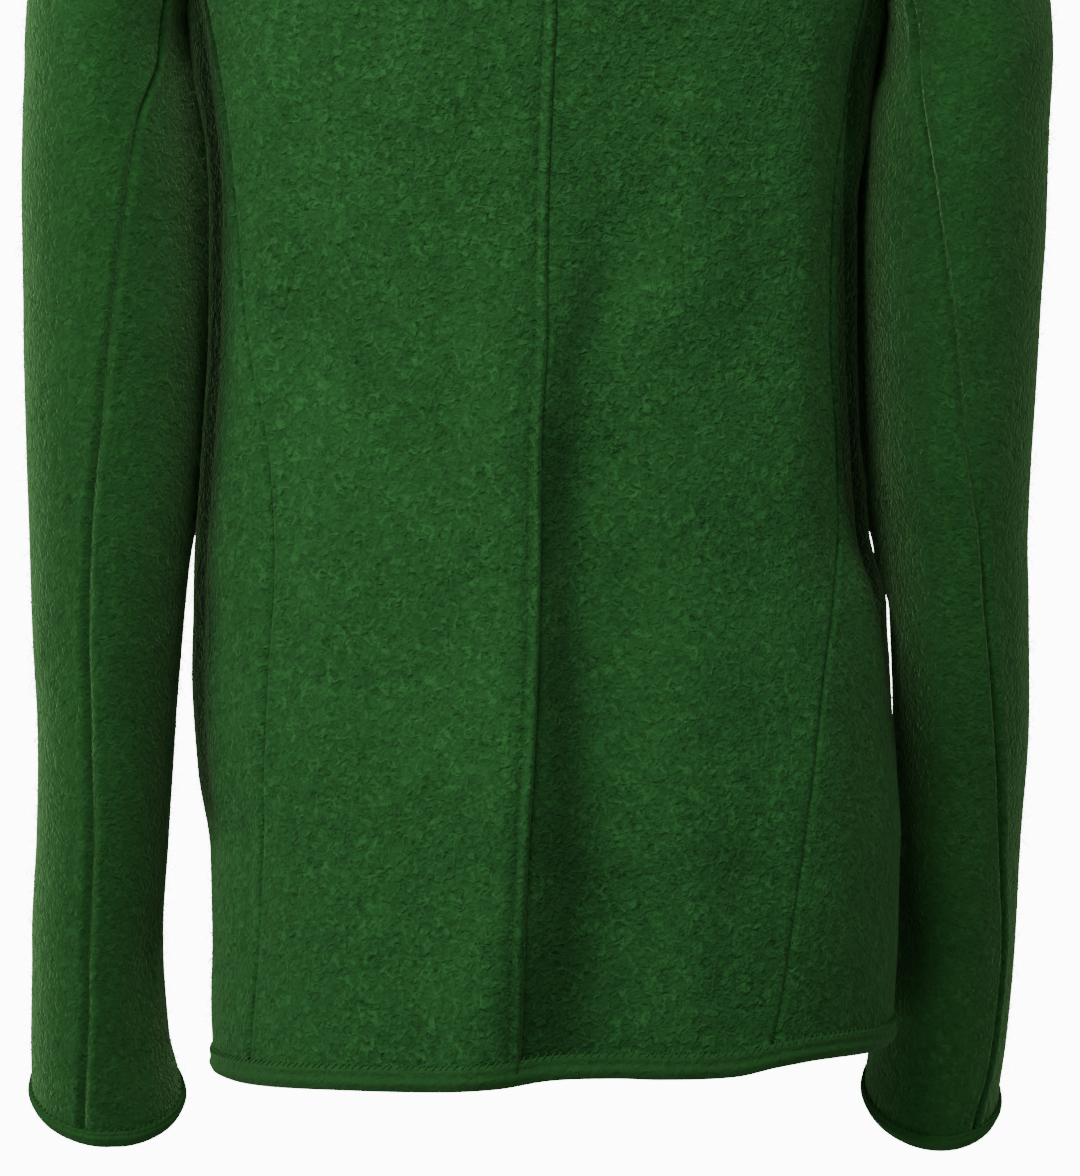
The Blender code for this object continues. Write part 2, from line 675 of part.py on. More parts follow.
def sleeve_normal(side, turn, height):
    """The sleeve's outward normal."""
    after, before = [sleeve_point(side, turn + step, height) for step in (ANGLE_STEP, -ANGLE_STEP)]
    top = min(height + HEIGHT_STEP, SLEEVE_SECTIONS[side][-1].height)
    low = max(height - HEIGHT_STEP, SLEEVE_SECTIONS[side][0].height)
    round_way = after - before
    up_way = sleeve_point(side, turn, top) - sleeve_point(side, turn, low)
    return round_way.cross(up_way).normalized() * side


def sleeve_turns(side, upper, height):
    """Turns of the columns of the top or the under sleeve at one height."""
    over, under = armhole_turns(side)
    row = sleeve_row(side, height)
    back, front = math.radians(row.back_seam), math.radians(row.front_seam)
    if upper:
        first, last, corners = front - 2 * math.pi, back, over
    else:
        first, last, corners = back, front, under
    spread = corners[-1] - corners[0]
    return [blend(first, last, (corner - corners[0]) / spread) for corner in corners]


def cap_start(side, turn):
    """Where the sleeve leaves the armhole, the cloth's normal there, and the way it sets off."""
    point, normal, into = armhole_frame(turn, side)
    over = max(math.cos(turn), 0) ** 2
    under = max(-math.cos(turn), 0) ** 2
    beside = math.sin(turn) ** 2
    away = Vector()
    for share, way in ((over, CAP_OVER), (beside, CAP_BESIDE), (under, CAP_UNDER)):
        away += share * (into * way.along + Vector((side * way.sideways, 0, -way.down)))
    return point + into * SEAM_GAP, normal, away.normalized()


def cap_rows(side, upper):
    """Rows of the sleeve head, from the armhole's edge to the first full section below it."""
    over, under = armhole_turns(side)
    corners = over if upper else under
    top_height = SLEEVE_SECTIONS[side][-1].height
    turns = sleeve_turns(side, upper, top_height)
    columns = []
    for corner, turn in zip(corners, turns):
        start, _, away = cap_start(side, corner)
        end = sleeve_point(side, turn, top_height)
        reach = (end - start).length
        leave = away * max(CAP_LEAVE * reach, CAP_LEAVE_LEAST)
        land = Vector((0, 0, -CAP_LAND * reach))
        columns.append([hermite(start, end, leave, land, share) for share in (0.0,) + CAP_STEPS])
    return [list(row) for row in zip(*columns)]


def hermite(start, end, leave, land, share):
    """A smooth way from start to end that sets off along leave and arrives along land."""
    square, cube = share ** 2, share ** 3
    return (start * (2 * cube - 3 * square + 1) + leave * (cube - 2 * square + share)
            + end * (3 * square - 2 * cube) + land * (cube - square))


def sleeve_grid(side, upper):
    """Outer points and normals of the top or the under sleeve, from the armhole to the cuff."""
    rows_up = SLEEVE_SECTIONS[side]
    top, low = rows_up[-1].height, rows_up[0].height
    outer = cap_rows(side, upper)
    heights = [blend(top, low + CUFF_BINDING, share) for share in even_shares(SLEEVE_ROWS)] + [low]
    normals = [None] * len(outer)
    for height in heights:
        turns = sleeve_turns(side, upper, height)
        outer.append([sleeve_point(side, turn, height) for turn in turns])
        normals.append([sleeve_normal(side, turn, height) for turn in turns])
    return outer, normals


def sleeve_pieces(side):
    """Both halves of a sleeve, with the normals of the sleeve head read round the whole ring, so
    that they agree at the seams."""
    over_points, over_normals = sleeve_grid(side, True)
    under_points, under_normals = sleeve_grid(side, False)
    over, under = armhole_turns(side)
    rings = [top[:-1] + low[:-1] for top, low in zip(over_points, under_points)]
    for i in range(len(CAP_STEPS) + 1):
        if i == 0:
            ways = [cap_start(side, turn)[1] for turn in over[:-1] + under[:-1]]
        else:
            ways = ring_normals(rings[i - 1], rings[i], rings[i + 1], side)
        split = len(over) - 1
        over_normals[i] = ways[:split + 1]
        under_normals[i] = ways[split:] + ways[:1]
    return (over_points, over_normals), (under_points, under_normals)


def ring_normals(before, ring, after, side):
    """Outward normals of one closed ring of points, from the rings before and after it."""
    ways = []
    for j in range(len(ring)):
        round_way = ring[(j + 1) % len(ring)] - ring[j - 1]
        ways.append(round_way.cross(before[j] - after[j]).normalized() * side)
    return ways


def part_edges(points, normals):
    """Draws both long edges of a sleeve piece back by half the seam's gap."""
    for row in points:
        for edge, beside in ((0, 1), (-1, -2)):
            way = (row[beside] - row[edge]).normalized()
            row[edge] = row[edge] + way * (SEAM_GAP / 2)
    return points, normals


def build_sleeve(side):
    name = "left" if side > 0 else "right"
    top, under = sleeve_pieces(side)
    add_wall("top_sleeve_" + name, *part_edges(*top), WOOL)
    add_wall("under_sleeve_" + name, *part_edges(*under), WOOL)


# ---------------------------------------------------------------- bound edges and collar

def strip_section(low, high, low_way, high_way):
    """Section of a strip folded over a cloth edge, round from its outer top to its inner top."""
    gap, full = BINDING_GAP, BINDING_GAP + BINDING_WALL
    down = (low - high).normalized()
    return [
        high + high_way * gap,
        high + high_way * full,
        low + low_way * full + down * full,
        low - low_way * (WALL + full) + down * full,
        high - high_way * (WALL + full),
        high - high_way * (WALL + gap),
        low - low_way * (WALL + gap) + down * gap,
        low + low_way * gap + down * gap,
    ]


def hem_columns():
    """Angle, height and inset of every column round the hem, from the right front's edge to the
    left front's, which passes under it."""
    columns = []
    turn = 2 * math.pi
    start, finish = front_edge(HEM_BACK, -1), front_edge(HEM_BACK, 1)
    front_right = seam_angle("front_right", HEM_BACK)
    back_right = seam_angle("back_right", HEM_BACK)
    centre = seam_angle("centre_back", HEM_BACK)
    back_left = seam_angle("back_left", HEM_BACK)
    front_left = seam_angle("front_left", HEM_BACK) - turn
    stretches = [
        (start, front_right, FRONT_SHARES),
        (front_right, back_right, [1 - share for _, share in side_columns(-1)[::-1]]),
        (back_right, centre, even_shares(BACK_COLUMNS)),
        (centre, back_left, even_shares(BACK_COLUMNS)),
        (back_left, front_left, [share for _, share in side_columns(1)]),
        (front_left, finish - turn, [1 - share for share in FRONT_SHARES[::-1]]),
    ]
    for first, last, shares in stretches:
        angles = [blend(first, last, share) for share in shares]
        columns += angles if not columns else angles[1:]
    return columns


def build_hem_binding():
    grid = []
    angles = hem_columns()
    for index, angle in enumerate(angles):
        under = index > len(angles) - len(FRONT_SHARES)
        frames = []
        for height in (HEM_BACK, HEM_BACK + HEM_BINDING):
            point, normal = torso_frame(angle, tilted(height, angle))
            frames.append((point - normal * inset_at(point, under), normal))
        (low, low_way), (high, high_way) = frames
        grid.append(strip_section(low, high, low_way, high_way))
    add_strip("hem_binding", grid, closed=False)


def build_cuff_binding(side):
    name = "left" if side > 0 else "right"
    low = SLEEVE_SECTIONS[side][0].height
    columns = []
    for upper in (True, False):
        highs = sleeve_turns(side, upper, low + CUFF_BINDING)[:-1]
        lows = sleeve_turns(side, upper, low)[:-1]
        columns += list(zip(lows, highs))
    grid = []
    for turn_low, turn_high in columns:
        grid.append(strip_section(
            sleeve_point(side, turn_low, low), sleeve_point(side, turn_high, low + CUFF_BINDING),
            sleeve_normal(side, turn_low, low), sleeve_normal(side, turn_high, low + CUFF_BINDING)))
    add_strip("cuff_binding_" + name, grid, closed=True)


def add_strip(name, grid, closed):
    """A folded strip from its sections, closed into a ring or with a flat end at each edge."""
    shape = bmesh.new()
    rows = [[shape.verts.new(point) for point in row] for row in grid]
    count = len(rows[0])
    for i in range(len(rows) if closed else len(rows) - 1):
        here, after = rows[i], rows[(i + 1) % len(rows)]
        for j in range(count):
            k = (j + 1) % count
            shape.faces.new((here[j], here[k], after[k], after[j]))
    if not closed:
        for row in (rows[0], rows[-1]):
            for corners in ((0, 1, 2, 7), (7, 2, 3, 6), (6, 3, 4, 5)):
                shape.faces.new([row[corner] for corner in corners])
    return add_shape(name, shape, BOUND_EDGE)


def collar_columns():
    """Angles and heights of the collar's foot, round the neck from one front edge to the other."""
    quarters = []
    for side, front in ((1, True), (1, False), (-1, False), (-1, True)):
        corners = [(angle, height) for height, angle in neck_corners(side, front)]
        if front:
            share = COLLAR_END / (NECK_HALF * math.sin(math.radians(NECK_TURNS[0])))
            corners[0] = tuple(blend(a, b, share) for a, b in zip(corners[0], corners[1]))
        quarters.append(corners)
    left_shoulder, right_shoulder = [(0.0, NECK_SIDE)], [(math.pi, NECK_SIDE)]
    return (quarters[0] + left_shoulder + quarters[1][::-1] + quarters[2][1:] + right_shoulder
            + quarters[3][::-1])


def build_collar():
    """A plain low stand collar that rises from the neck seam and leans in a little."""
    feet = [torso_frame(angle, height) for angle, height in collar_columns()]
    columns = []
    for index, (foot, normal) in enumerate(feet):
        before, after = feet[max(index - 1, 0)][0], feet[min(index + 1, len(feet) - 1)][0]
        along = (after - before).normalized()
        up_cloth = normal.cross(along)
        start = foot + up_cloth * SEAM_GAP
        inward = Vector((-foot.x, -foot.y, 0)).normalized()
        end = start + Vector((0, 0, COLLAR_HEIGHT)) + inward * COLLAR_LEAN
        leave = up_cloth * COLLAR_TURN
        land = (Vector((0, 0, 1)) + inward * COLLAR_TOP_LEAN) * COLLAR_HEIGHT
        columns.append([hermite(start, end, leave, land, level) for level in COLLAR_LEVELS])
    outer = [list(row) for row in zip(*columns)]
    normals = [[normal for _, normal in feet]]
    for i in range(1, len(outer)):
        ways = []
        for j in range(len(feet)):
            along = outer[i][min(j + 1, len(feet) - 1)] - outer[i][max(j - 1, 0)]
            rise = outer[min(i + 1, len(outer) - 1)][j] - outer[i - 1][j]
            ways.append(along.cross(rise).normalized())
        normals.append(ways)
    return add_wall("collar", outer, normals, WOOL)


# ---------------------------------------------------------------- buttons

def button_mesh():
    """Profile of a turned button: a dished disc with a rounded rim on a short shank."""
    mesh = bpy.data.meshes.new("button")
    edges = [(i, i + 1) for i in range(len(BUTTON_PROFILE) - 1)]
    mesh.from_pydata([(point.radius, 0.0, point.height) for point in BUTTON_PROFILE], edges, [])
    mesh.materials.append(make_material("button", BUTTON_METAL))
    return mesh


def build_buttons():
    mesh = button_mesh()
    for index in range(BUTTON_COUNT):
        height = blend(BUTTON_TOP, BUTTON_BOTTOM, index / (BUTTON_COUNT - 1))
        point, normal = torso_frame(angle_at(0.0, height, front=True), height)
        button = bpy.data.objects.new(f"button_{index + 1}", mesh)
        bpy.data.collections[COLLECTION].objects.link(button)
        button.location = point
        button.rotation_mode = "QUATERNION"
        button.rotation_quaternion = normal.to_track_quat("Z", "X")
        turned = button.modifiers.new("Turned", "SCREW")
        turned.steps = BUTTON_STEPS
        turned.render_steps = BUTTON_STEPS
        turned.use_merge_vertices = True
        turned.merge_threshold = 0.00001
        turned.use_smooth_shade = True


def main():
    for thing in list(bpy.data.objects):
        bpy.data.objects.remove(thing, do_unlink=True)
    collection = bpy.data.collections.new(COLLECTION)
    bpy.context.scene.collection.children.link(collection)
    for side in (1, -1):
        build_back(side)
        build_side(side)
        build_front(side)
        build_sleeve(side)
        build_cuff_binding(side)
    build_hem_binding()
    build_collar()
    build_buttons()


main()
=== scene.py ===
"""A short fitted jacket of green felted wool, sewn from shaped panels and filled out as worn.

Metres, +Z up. The back faces +Y and the wearer's left arm is at +X. Angles run round the body: 0 is
the left side, a quarter turn the centre of the back, a half turn the right side, then the front.
"""

import math
from collections import namedtuple

import bpy
import numpy as np
from mathutils import Matrix, Vector


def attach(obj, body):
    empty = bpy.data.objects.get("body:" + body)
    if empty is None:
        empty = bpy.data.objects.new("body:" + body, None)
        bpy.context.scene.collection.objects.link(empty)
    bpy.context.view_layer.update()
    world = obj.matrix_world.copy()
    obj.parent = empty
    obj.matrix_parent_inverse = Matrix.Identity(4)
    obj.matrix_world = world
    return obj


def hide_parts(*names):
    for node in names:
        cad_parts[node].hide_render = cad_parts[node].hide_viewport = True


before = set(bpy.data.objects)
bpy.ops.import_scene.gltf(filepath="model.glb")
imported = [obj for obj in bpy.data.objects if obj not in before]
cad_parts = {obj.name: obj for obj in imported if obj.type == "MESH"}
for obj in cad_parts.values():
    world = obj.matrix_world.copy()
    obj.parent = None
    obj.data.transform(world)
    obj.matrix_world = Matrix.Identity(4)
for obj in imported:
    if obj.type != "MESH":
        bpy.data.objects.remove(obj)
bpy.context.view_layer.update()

WALL = 0.0025            # felted wool cloth
HEM_BINDING = 0.0100     # height of the folded strip on the hem, and on the cuffs
CUFF_BINDING = 0.0060
STRIP_TRIM = 0.0014      # the cloth stops this far above the strip's fold

SHOULDER = -0.040        # heights of the top and the bottom of the armhole
ARMPIT = -0.212
ARMHOLE_BACK = 0.058     # how far the armhole reaches behind and before the side line
ARMHOLE_FRONT = 0.060
HEM_BACK = -0.6614       # height of the hem at the centre of the back
HEM_TILT = 0.052         # the hem hangs lower on the left: metres per metre across
NECK_BACK = -0.020       # heights of the neck seam
NECK_SIDE = -0.006
NECK_FRONT = -0.072
NECK_HALF = 0.074
NECK_DROP = 0.0015       # the neck line meets a front's free edge this far below its own end
OVERLAP = 0.015          # each front passes the centre by this much
UNDER_INSET = 0.0062     # the left front lies this far under the right one
INSET_RUN = 0.012        # and comes out to the tube over this width, this far beside the right one
INSET_CLEAR = 0.005
COLLAR_HEIGHT = 0.034
COLLAR_LEAN = 0.006      # how far in its top stands
COLLAR_END = 0.002       # its ends stop this far from the centre
COLLAR_TURN = 0.008      # how long it follows the body before it stands up
COLLAR_TOP_LEAN = 0.1
BUTTON_COUNT = 6
BUTTON_TOP = -0.100
BUTTON_BOTTOM = -0.560

CLOTH_STEP = 0.0036      # usual distance between the cloth's points
EDGE_STEPS = (0.0, 0.0004, 0.0009, 0.0016, 0.0025, 0.0037, 0.0053, 0.0075)   # and beside a seam
FINE = 90                # points along which a row is measured
FINE_ROUND = 4000        # and an edge all the way round
LOWER_ROWS = 120         # rows of a panel below, along and above the armhole
ARMHOLE_ROWS = 38
SHOULDER_ROWS = 32
ARMHOLE_CROWD = 0.9
LONG_ROWS = 130          # rows of a side panel, and of a sleeve below its head
SIDE_WIDTH = 0.150       # usual widths of a side panel and of half a sleeve
SLEEVE_WIDTH = 0.130
SIDE_TOP_ROWS = (0.013, 0.009, 0.006, 0.0038, 0.002, 0.0009, 0.0)    # shares, from the top down
COLLAR_TOP_ROWS = (0.028, 0.012, 0.004, 0.0)
ANGLE_STEP = 0.02        # steps over which the ways out of a surface are measured
HEIGHT_STEP = 0.002
HALVINGS = 40            # of a span that holds the place looked for
SHARP = math.radians(65)
TURN = 2 * math.pi


def named(kind, rows):
    """The rows of a table, with their columns named."""
    return [kind(*row) for row in rows]


Torso = namedtuple("Torso", "height centre half_width back front squareness")
TORSO = named(Torso, [
    (-0.700, -0.0070, 0.1455, 0.1270, 0.1170, 2.30),
    (-0.664, -0.0071, 0.1460, 0.1275, 0.1170, 2.30),
    (-0.642, -0.0071, 0.1469, 0.1275, 0.1168, 2.30),
    (-0.608, -0.0082, 0.1475, 0.1265, 0.1160, 2.30),
    (-0.573, -0.0082, 0.1483, 0.1240, 0.1145, 2.30),
    (-0.539, -0.0047, 0.1500, 0.1200, 0.1120, 2.30),
    (-0.504, -0.0025, 0.1503, 0.1140, 0.1085, 2.30),
    (-0.470, -0.0015, 0.1488, 0.1075, 0.1045, 2.30),
    (-0.436, 0.0023, 0.1439, 0.1015, 0.1005, 2.32),
    (-0.401, 0.0022, 0.1415, 0.0970, 0.0980, 2.35),
    (-0.350, 0.0014, 0.1392, 0.0945, 0.0980, 2.38),
    (-0.298, 0.0012, 0.1390, 0.0955, 0.1030, 2.40),
    (-0.246, 0.0016, 0.1425, 0.0990, 0.1115, 2.40),
    (-0.212, 0.0000, 0.1480, 0.1015, 0.1155, 2.38),
    (-0.170, 0.0000, 0.1580, 0.1025, 0.1135, 2.35),
    (-0.126, 0.0000, 0.1680, 0.1000, 0.1050, 2.30),
    (-0.080, 0.0000, 0.1745, 0.0915, 0.0925, 2.25),
    (-0.050, 0.0000, 0.1750, 0.0825, 0.0830, 2.20),
    (-0.040, 0.0000, 0.1690, 0.0795, 0.0795, 2.18),
    (-0.030, 0.0000, 0.1470, 0.0760, 0.0760, 2.12),
    (-0.006, 0.0000, 0.0745, 0.0660, 0.0660, 2.00),
    (0.010, 0.0000, 0.0450, 0.0620, 0.0620, 2.00),
])

Seams = namedtuple("Seams", "height centre_back back_left back_right front_left front_right")
SEAMS = named(Seams, [
    (-0.700, 0.0065, 0.1235, -0.0965, 0.1000, -0.1080),
    (-0.665, 0.0062, 0.1222, -0.0990, 0.1000, -0.1080),
    (-0.632, 0.0052, 0.1205, -0.1035, 0.1000, -0.1080),
    (-0.570, 0.0030, 0.1172, -0.1120, 0.1000, -0.1080),
    (-0.505, -0.0004, 0.1155, -0.1190, 0.1000, -0.1030),
    (-0.440, -0.0021, 0.1121, -0.1285, 0.0980, -0.0960),
    (-0.400, -0.0024, 0.1142, -0.1275, 0.0970, -0.0940),
    (-0.350, -0.0046, 0.1226, -0.1245, 0.0980, -0.0940),
    (-0.300, -0.0052, 0.1270, -0.1255, 0.1040, -0.1000),
    (-0.250, -0.0070, 0.1325, -0.1320, 0.1180, -0.1170),
    (-0.212, -0.0085, 0.1395, -0.1385, 0.1330, -0.1330),
    (-0.185, -0.0085, 0.1455, -0.1455, 0.1430, -0.1430),
    (-0.150, -0.0070, 0.1520, -0.1520, 0.1520, -0.1520),
    (-0.040, 0.0000, 0.1520, -0.1520, 0.1520, -0.1520),
    (0.020, 0.0000, 0.1520, -0.1520, 0.1520, -0.1520),
])

Sleeve = namedtuple("Sleeve", "height centre half_width forward half_depth tilt"
                              " back_seam front_seam")
SLEEVES = {
    "left": named(Sleeve, [
        (-0.230, 0.1856, 0.0338, 0.002, 0.0570, 0, 141, 226),
        (-0.260, 0.1845, 0.0360, 0.003, 0.0565, 0, 118, 229),
        (-0.298, 0.1828, 0.0382, 0.004, 0.0555, 0, 104, 231),
        (-0.345, 0.1818, 0.0387, 0.005, 0.0540, 0, 93, 232),
        (-0.390, 0.1821, 0.0377, 0.007, 0.0525, 1, 86, 232),
        (-0.435, 0.1833, 0.0353, 0.010, 0.0510, 2, 80, 230),
        (-0.480, 0.1850, 0.0326, 0.015, 0.0500, 4, 79, 229),
        (-0.525, 0.1860, 0.0298, 0.021, 0.0490, 7, 82, 229),
        (-0.570, 0.1882, 0.0288, 0.028, 0.0475, 10, 86, 230),
        (-0.615, 0.1909, 0.0286, 0.035, 0.0460, 14, 87, 230),
        (-0.655, 0.1902, 0.0302, 0.041, 0.0450, 18, 82, 228),
        (-0.684, 0.1873, 0.0330, 0.046, 0.0450, 20, 75, 226),
    ]),
    "right": named(Sleeve, [
        (-0.230, 0.1860, 0.0360, 0.002, 0.0570, 0, 133, 226),
        (-0.260, 0.1822, 0.0384, 0.003, 0.0565, 0, 119, 228),
        (-0.298, 0.1810, 0.0386, 0.005, 0.0555, 0, 107, 228),
        (-0.345, 0.1805, 0.0365, 0.008, 0.0540, 0, 96, 226),
        (-0.390, 0.1805, 0.0342, 0.013, 0.0525, 1, 88, 222),
        (-0.435, 0.1818, 0.0312, 0.020, 0.0510, 3, 75, 218),
        (-0.480, 0.1838, 0.0302, 0.030, 0.0500, 6, 69, 214),
        (-0.525, 0.1852, 0.0296, 0.043, 0.0490, 9, 62, 210),
        (-0.570, 0.1835, 0.0288, 0.056, 0.0475, 12, 51, 204),
        (-0.615, 0.1822, 0.0285, 0.067, 0.0460, 16, 42, 198),
        (-0.655, 0.1785, 0.0292, 0.075, 0.0450, 19, 45, 198),
        (-0.689, 0.1745, 0.0296, 0.081, 0.0450, 21, 56, 206),
    ]),
}

# Soft troughs (negative) and ridges (positive), from one end to the other; angles in degrees.
Fold = namedtuple("Fold", "angle_1 height_1 angle_2 height_2 spread lift")
BODY_FOLDS = named(Fold, [
    (74, -0.215, 76, -0.520, 0.020, 0.0022),
    (50, -0.240, 52, -0.370, 0.020, -0.0020),
    (108, -0.290, 93, -0.365, 0.014, -0.0032),
    (100, -0.425, 99, -0.640, 0.018, -0.0028),
    (62, -0.470, 74, -0.525, 0.016, -0.0018),
    (124, -0.300, 112, -0.350, 0.018, 0.0022),
    (140, -0.480, 132, -0.640, 0.022, 0.0025),
    (28, -0.470, 32, -0.640, 0.016, -0.0022),
    (318, -0.300, 290, -0.350, 0.018, -0.0028),
    (222, -0.300, 250, -0.345, 0.018, -0.0028),
    (300, -0.450, 305, -0.640, 0.022, -0.0025),
    (238, -0.460, 232, -0.640, 0.022, -0.0025),
])
SLEEVE_FOLDS = {
    "left": named(Fold, [
        (250, -0.400, 215, -0.425, 0.012, -0.0022),
        (285, -0.440, 235, -0.455, 0.012, -0.0024),
        (40, -0.480, 85, -0.500, 0.016, -0.0012),
        (150, -0.600, 120, -0.660, 0.010, -0.0020),
        (208, -0.212, 212, -0.340, 0.017, 0.0092),
        (212, -0.340, 212, -0.440, 0.015, 0.0074),
    ]),
    "right": named(Fold, [
        (255, -0.395, 215, -0.420, 0.012, -0.0024),
        (290, -0.435, 240, -0.450, 0.012, -0.0022),
        (20, -0.430, 70, -0.470, 0.016, -0.0014),
        (212, -0.214, 212, -0.320, 0.015, 0.0105),
        (212, -0.320, 208, -0.428, 0.017, 0.0112),
        (200, -0.424, 200, -0.462, 0.018, 0.0060),
    ]),
}
BODY_FOLD_RADIUS = 0.125     # turns an angle into a distance round the body, and round a sleeve
SLEEVE_FOLD_RADIUS = 0.042
FOLD_FADE = 0.4

# Creases of the panels themselves, in the same columns: both faces of the cloth follow them.
BODY_CREASES = named(Fold, [
    (88, -0.350, 87, -0.570, 0.0140, 0.0085),
    (85, -0.585, 79, -0.672, 0.0170, 0.0075),
    (99, -0.375, 97, -0.560, 0.0130, -0.0062),
    (98, -0.575, 97, -0.672, 0.0200, -0.0065),
    (95, -0.395, 93, -0.545, 0.0070, -0.0030),
    (91, -0.560, 89, -0.672, 0.0085, -0.0044),
    (122, -0.560, 120, -0.672, 0.0300, -0.0040),
    (106, -0.215, 103, -0.330, 0.0240, -0.0040),
    (140, -0.230, 138, -0.450, 0.0190, 0.0045),
    (46, -0.350, 46, -0.530, 0.0160, -0.0030),
    (50, -0.215, 50, -0.340, 0.0090, -0.0014),
    (14, -0.215, 12, -0.560, 0.0100, -0.0040),
    (164, -0.215, 172, -0.480, 0.0100, -0.0050),
    (184, -0.190, 184, -0.280, 0.0220, 0.0044),
    (-4, -0.185, -4, -0.255, 0.0220, 0.0032),
    (184, -0.405, 186, -0.470, 0.0200, 0.0022),
    (184, -0.520, 186, -0.570, 0.0200, 0.0008),
    (98, -0.306, 97, -0.330, 0.0050, -0.0009),
    (104, -0.372, 93, -0.384, 0.0060, -0.0007),
    (84, -0.395, 76, -0.376, 0.0070, -0.0005),
    (110, -0.405, 96, -0.412, 0.0070, -0.0005),
    (128, -0.520, 118, -0.600, 0.0090, -0.0006),
    (58, -0.560, 62, -0.640, 0.0090, 0.0005),
    (320, -0.372, 300, -0.384, 0.0070, -0.0007),
    (212, -0.365, 236, -0.378, 0.0070, -0.0007),
    (345, -0.395, 325, -0.400, 0.0070, -0.0006),
    (196, -0.390, 214, -0.400, 0.0070, -0.0006),
])

# Shade painted on the cloth in the deep creases and beside the sleeves, where the studio's lights
# alone leave it paler than in the photograph. The last number is how dark the middle is; beyond 1
# the dark middle is only wider.
SHADED_WOOL = named(Fold, [
    (92.5, -0.375, 91.5, -0.500, 0.0090, 0.48),
    (91.5, -0.500, 89.5, -0.680, 0.0110, 0.54),
    (99, -0.318, 93, -0.372, 0.0060, 0.36),
    (15.5, -0.190, 15.5, -0.480, 0.0170, 1.30),
    (14, -0.460, 13, -0.560, 0.0140, 1.30),
    (-1, -0.190, -1, -0.480, 0.0190, 1.30),
    (-1, -0.460, -1, -0.560, 0.0190, 1.30),
    (164, -0.190, 163, -0.270, 0.0160, 0.80),
    (162.5, -0.290, 162.5, -0.420, 0.0170, 1.30),
    (180, -0.210, 180, -0.440, 0.0190, 1.30),
    (164, -0.410, 177, -0.530, 0.0160, 1.30),
    (183, -0.400, 188, -0.540, 0.0190, 1.30),
])
SHADED_BOTH_TOP = -0.520        # below this the left half is shaded along the seam too
SHADED_BOTH_FADE = 0.080

SLEEVE_CREASES = {
    "left": named(Fold, [
        (120, -0.430, 160, -0.450, 0.0060, -0.0008),
        (130, -0.470, 165, -0.462, 0.0060, -0.0006),
        (200, -0.440, 240, -0.430, 0.0060, -0.0010),
        (210, -0.470, 260, -0.478, 0.0070, -0.0008),
        (108, -0.640, 98, -0.688, 0.0050, -0.0007),
        (60, -0.300, 85, -0.262, 0.0090, -0.0008),
    ]),
    "right": named(Fold, [
        (110, -0.420, 150, -0.440, 0.0060, -0.0008),
        (118, -0.466, 150, -0.456, 0.0060, -0.0006),
        (200, -0.430, 240, -0.418, 0.0060, -0.0010),
        (215, -0.462, 262, -0.470, 0.0070, -0.0008),
        (60, -0.295, 88, -0.258, 0.0090, -0.0008),
    ]),
}

# How far the hem waves up (or down) from its even tilt, round the body in degrees.
Wave = namedtuple("Wave", "angle lift")
HEM_WAVES = named(Wave, [
    (0, 0.0018),
    (12, 0.0020),
    (31, 0.0008),
    (53, 0.0000),
    (74, -0.0014),
    (83, -0.0009),
    (92, 0.0013),
    (98, 0.0008),
    (105, -0.0008),
    (119, -0.0024),
    (128, -0.0004),
    (138, 0.0008),
    (160, -0.0004),
    (195, 0.0010),
    (222, -0.0016),
    (248, 0.0008),
    (268, -0.0006),
    (292, -0.0014),
    (318, 0.0012),
    (340, -0.0008),
    (360, 0.0018),
])
HEM_WAVE_REACH = 0.13

# How far each cuff hangs below its even end, on its outer and its inner side.
CuffDrop = namedtuple("CuffDrop", "outer inner reach")
CUFF_DROPS = {
    "left": CuffDrop(-0.0012, 0.0036, 0.12),
    "right": CuffDrop(0.0024, -0.0008, 0.12),
}

# How the cloth dips into a seam, and the soft ridge that its turned edge pads up beside it.
Sewn = namedtuple("Sewn", "dip dip_width ridge ridge_place ridge_width line")
PLAIN_SEAM = Sewn(0.0013, 0.0011, 0.00030, 0.0036, 0.0022, 0.0)
CENTRE_RAISED = Sewn(0.0001, 0.0005, 0.00190, 0.0018, 0.0017, 0.0014)
CENTRE_FLAT = Sewn(0.0006, 0.0013, 0.00010, 0.0050, 0.0030, 0.0)
SLEEVE_SEAM = Sewn(0.0023, 0.0016, 0.00060, 0.0036, 0.0020, 0.0)
LINE_PLACE = 0.0050      # a line of stitches runs this far from the raised edge
LINE_WIDTH = 0.0010
STEP = 0.0022            # the right half of the back lies this much lower along the centre seam
STEP_WIDTH = 0.0110      # and comes back up over about twice this width
STEP_TOP = -0.360        # the step grows from nothing here to its full height here
STEP_FULL = -0.440
SEAM_WANDER = 0.22       # how unevenly a seam draws in
INSIDE = 0.35            # share of a seam's relief that shows on the cloth's inner face

# Way that the sleeve head sets off, over, beside and under the arm.
CapWay = namedtuple("CapWay", "along sideways down")
CAP_OVER = CapWay(1.00, 0.00, 0.00)
CAP_BESIDE = CapWay(0.40, 0.80, 0.45)
CAP_UNDER = CapWay(0.90, 0.35, 0.00)
CAP_LEAVE = 0.5          # how strongly it sets off and lands, as shares of the way between
CAP_LEAVE_LEAST = 0.022
CAP_LAND = 0.8
CAP_ROWS = 48
CAP_CROWD = 1.5

SIGN = {"left": 1, "right": -1}      # of each side's X


# ------------------------------------------------------------------ curves through the tables

def smooth(share):
    share = np.clip(share, 0.0, 1.0)
    return share * share * (3 - 2 * share)


def blend(start, end, share):
    return start + (end - start) * share


def signed_power(value, power):
    return np.sign(value) * np.abs(value) ** power


def unit(ways):
    return ways / np.linalg.norm(ways, axis=-1, keepdims=True)


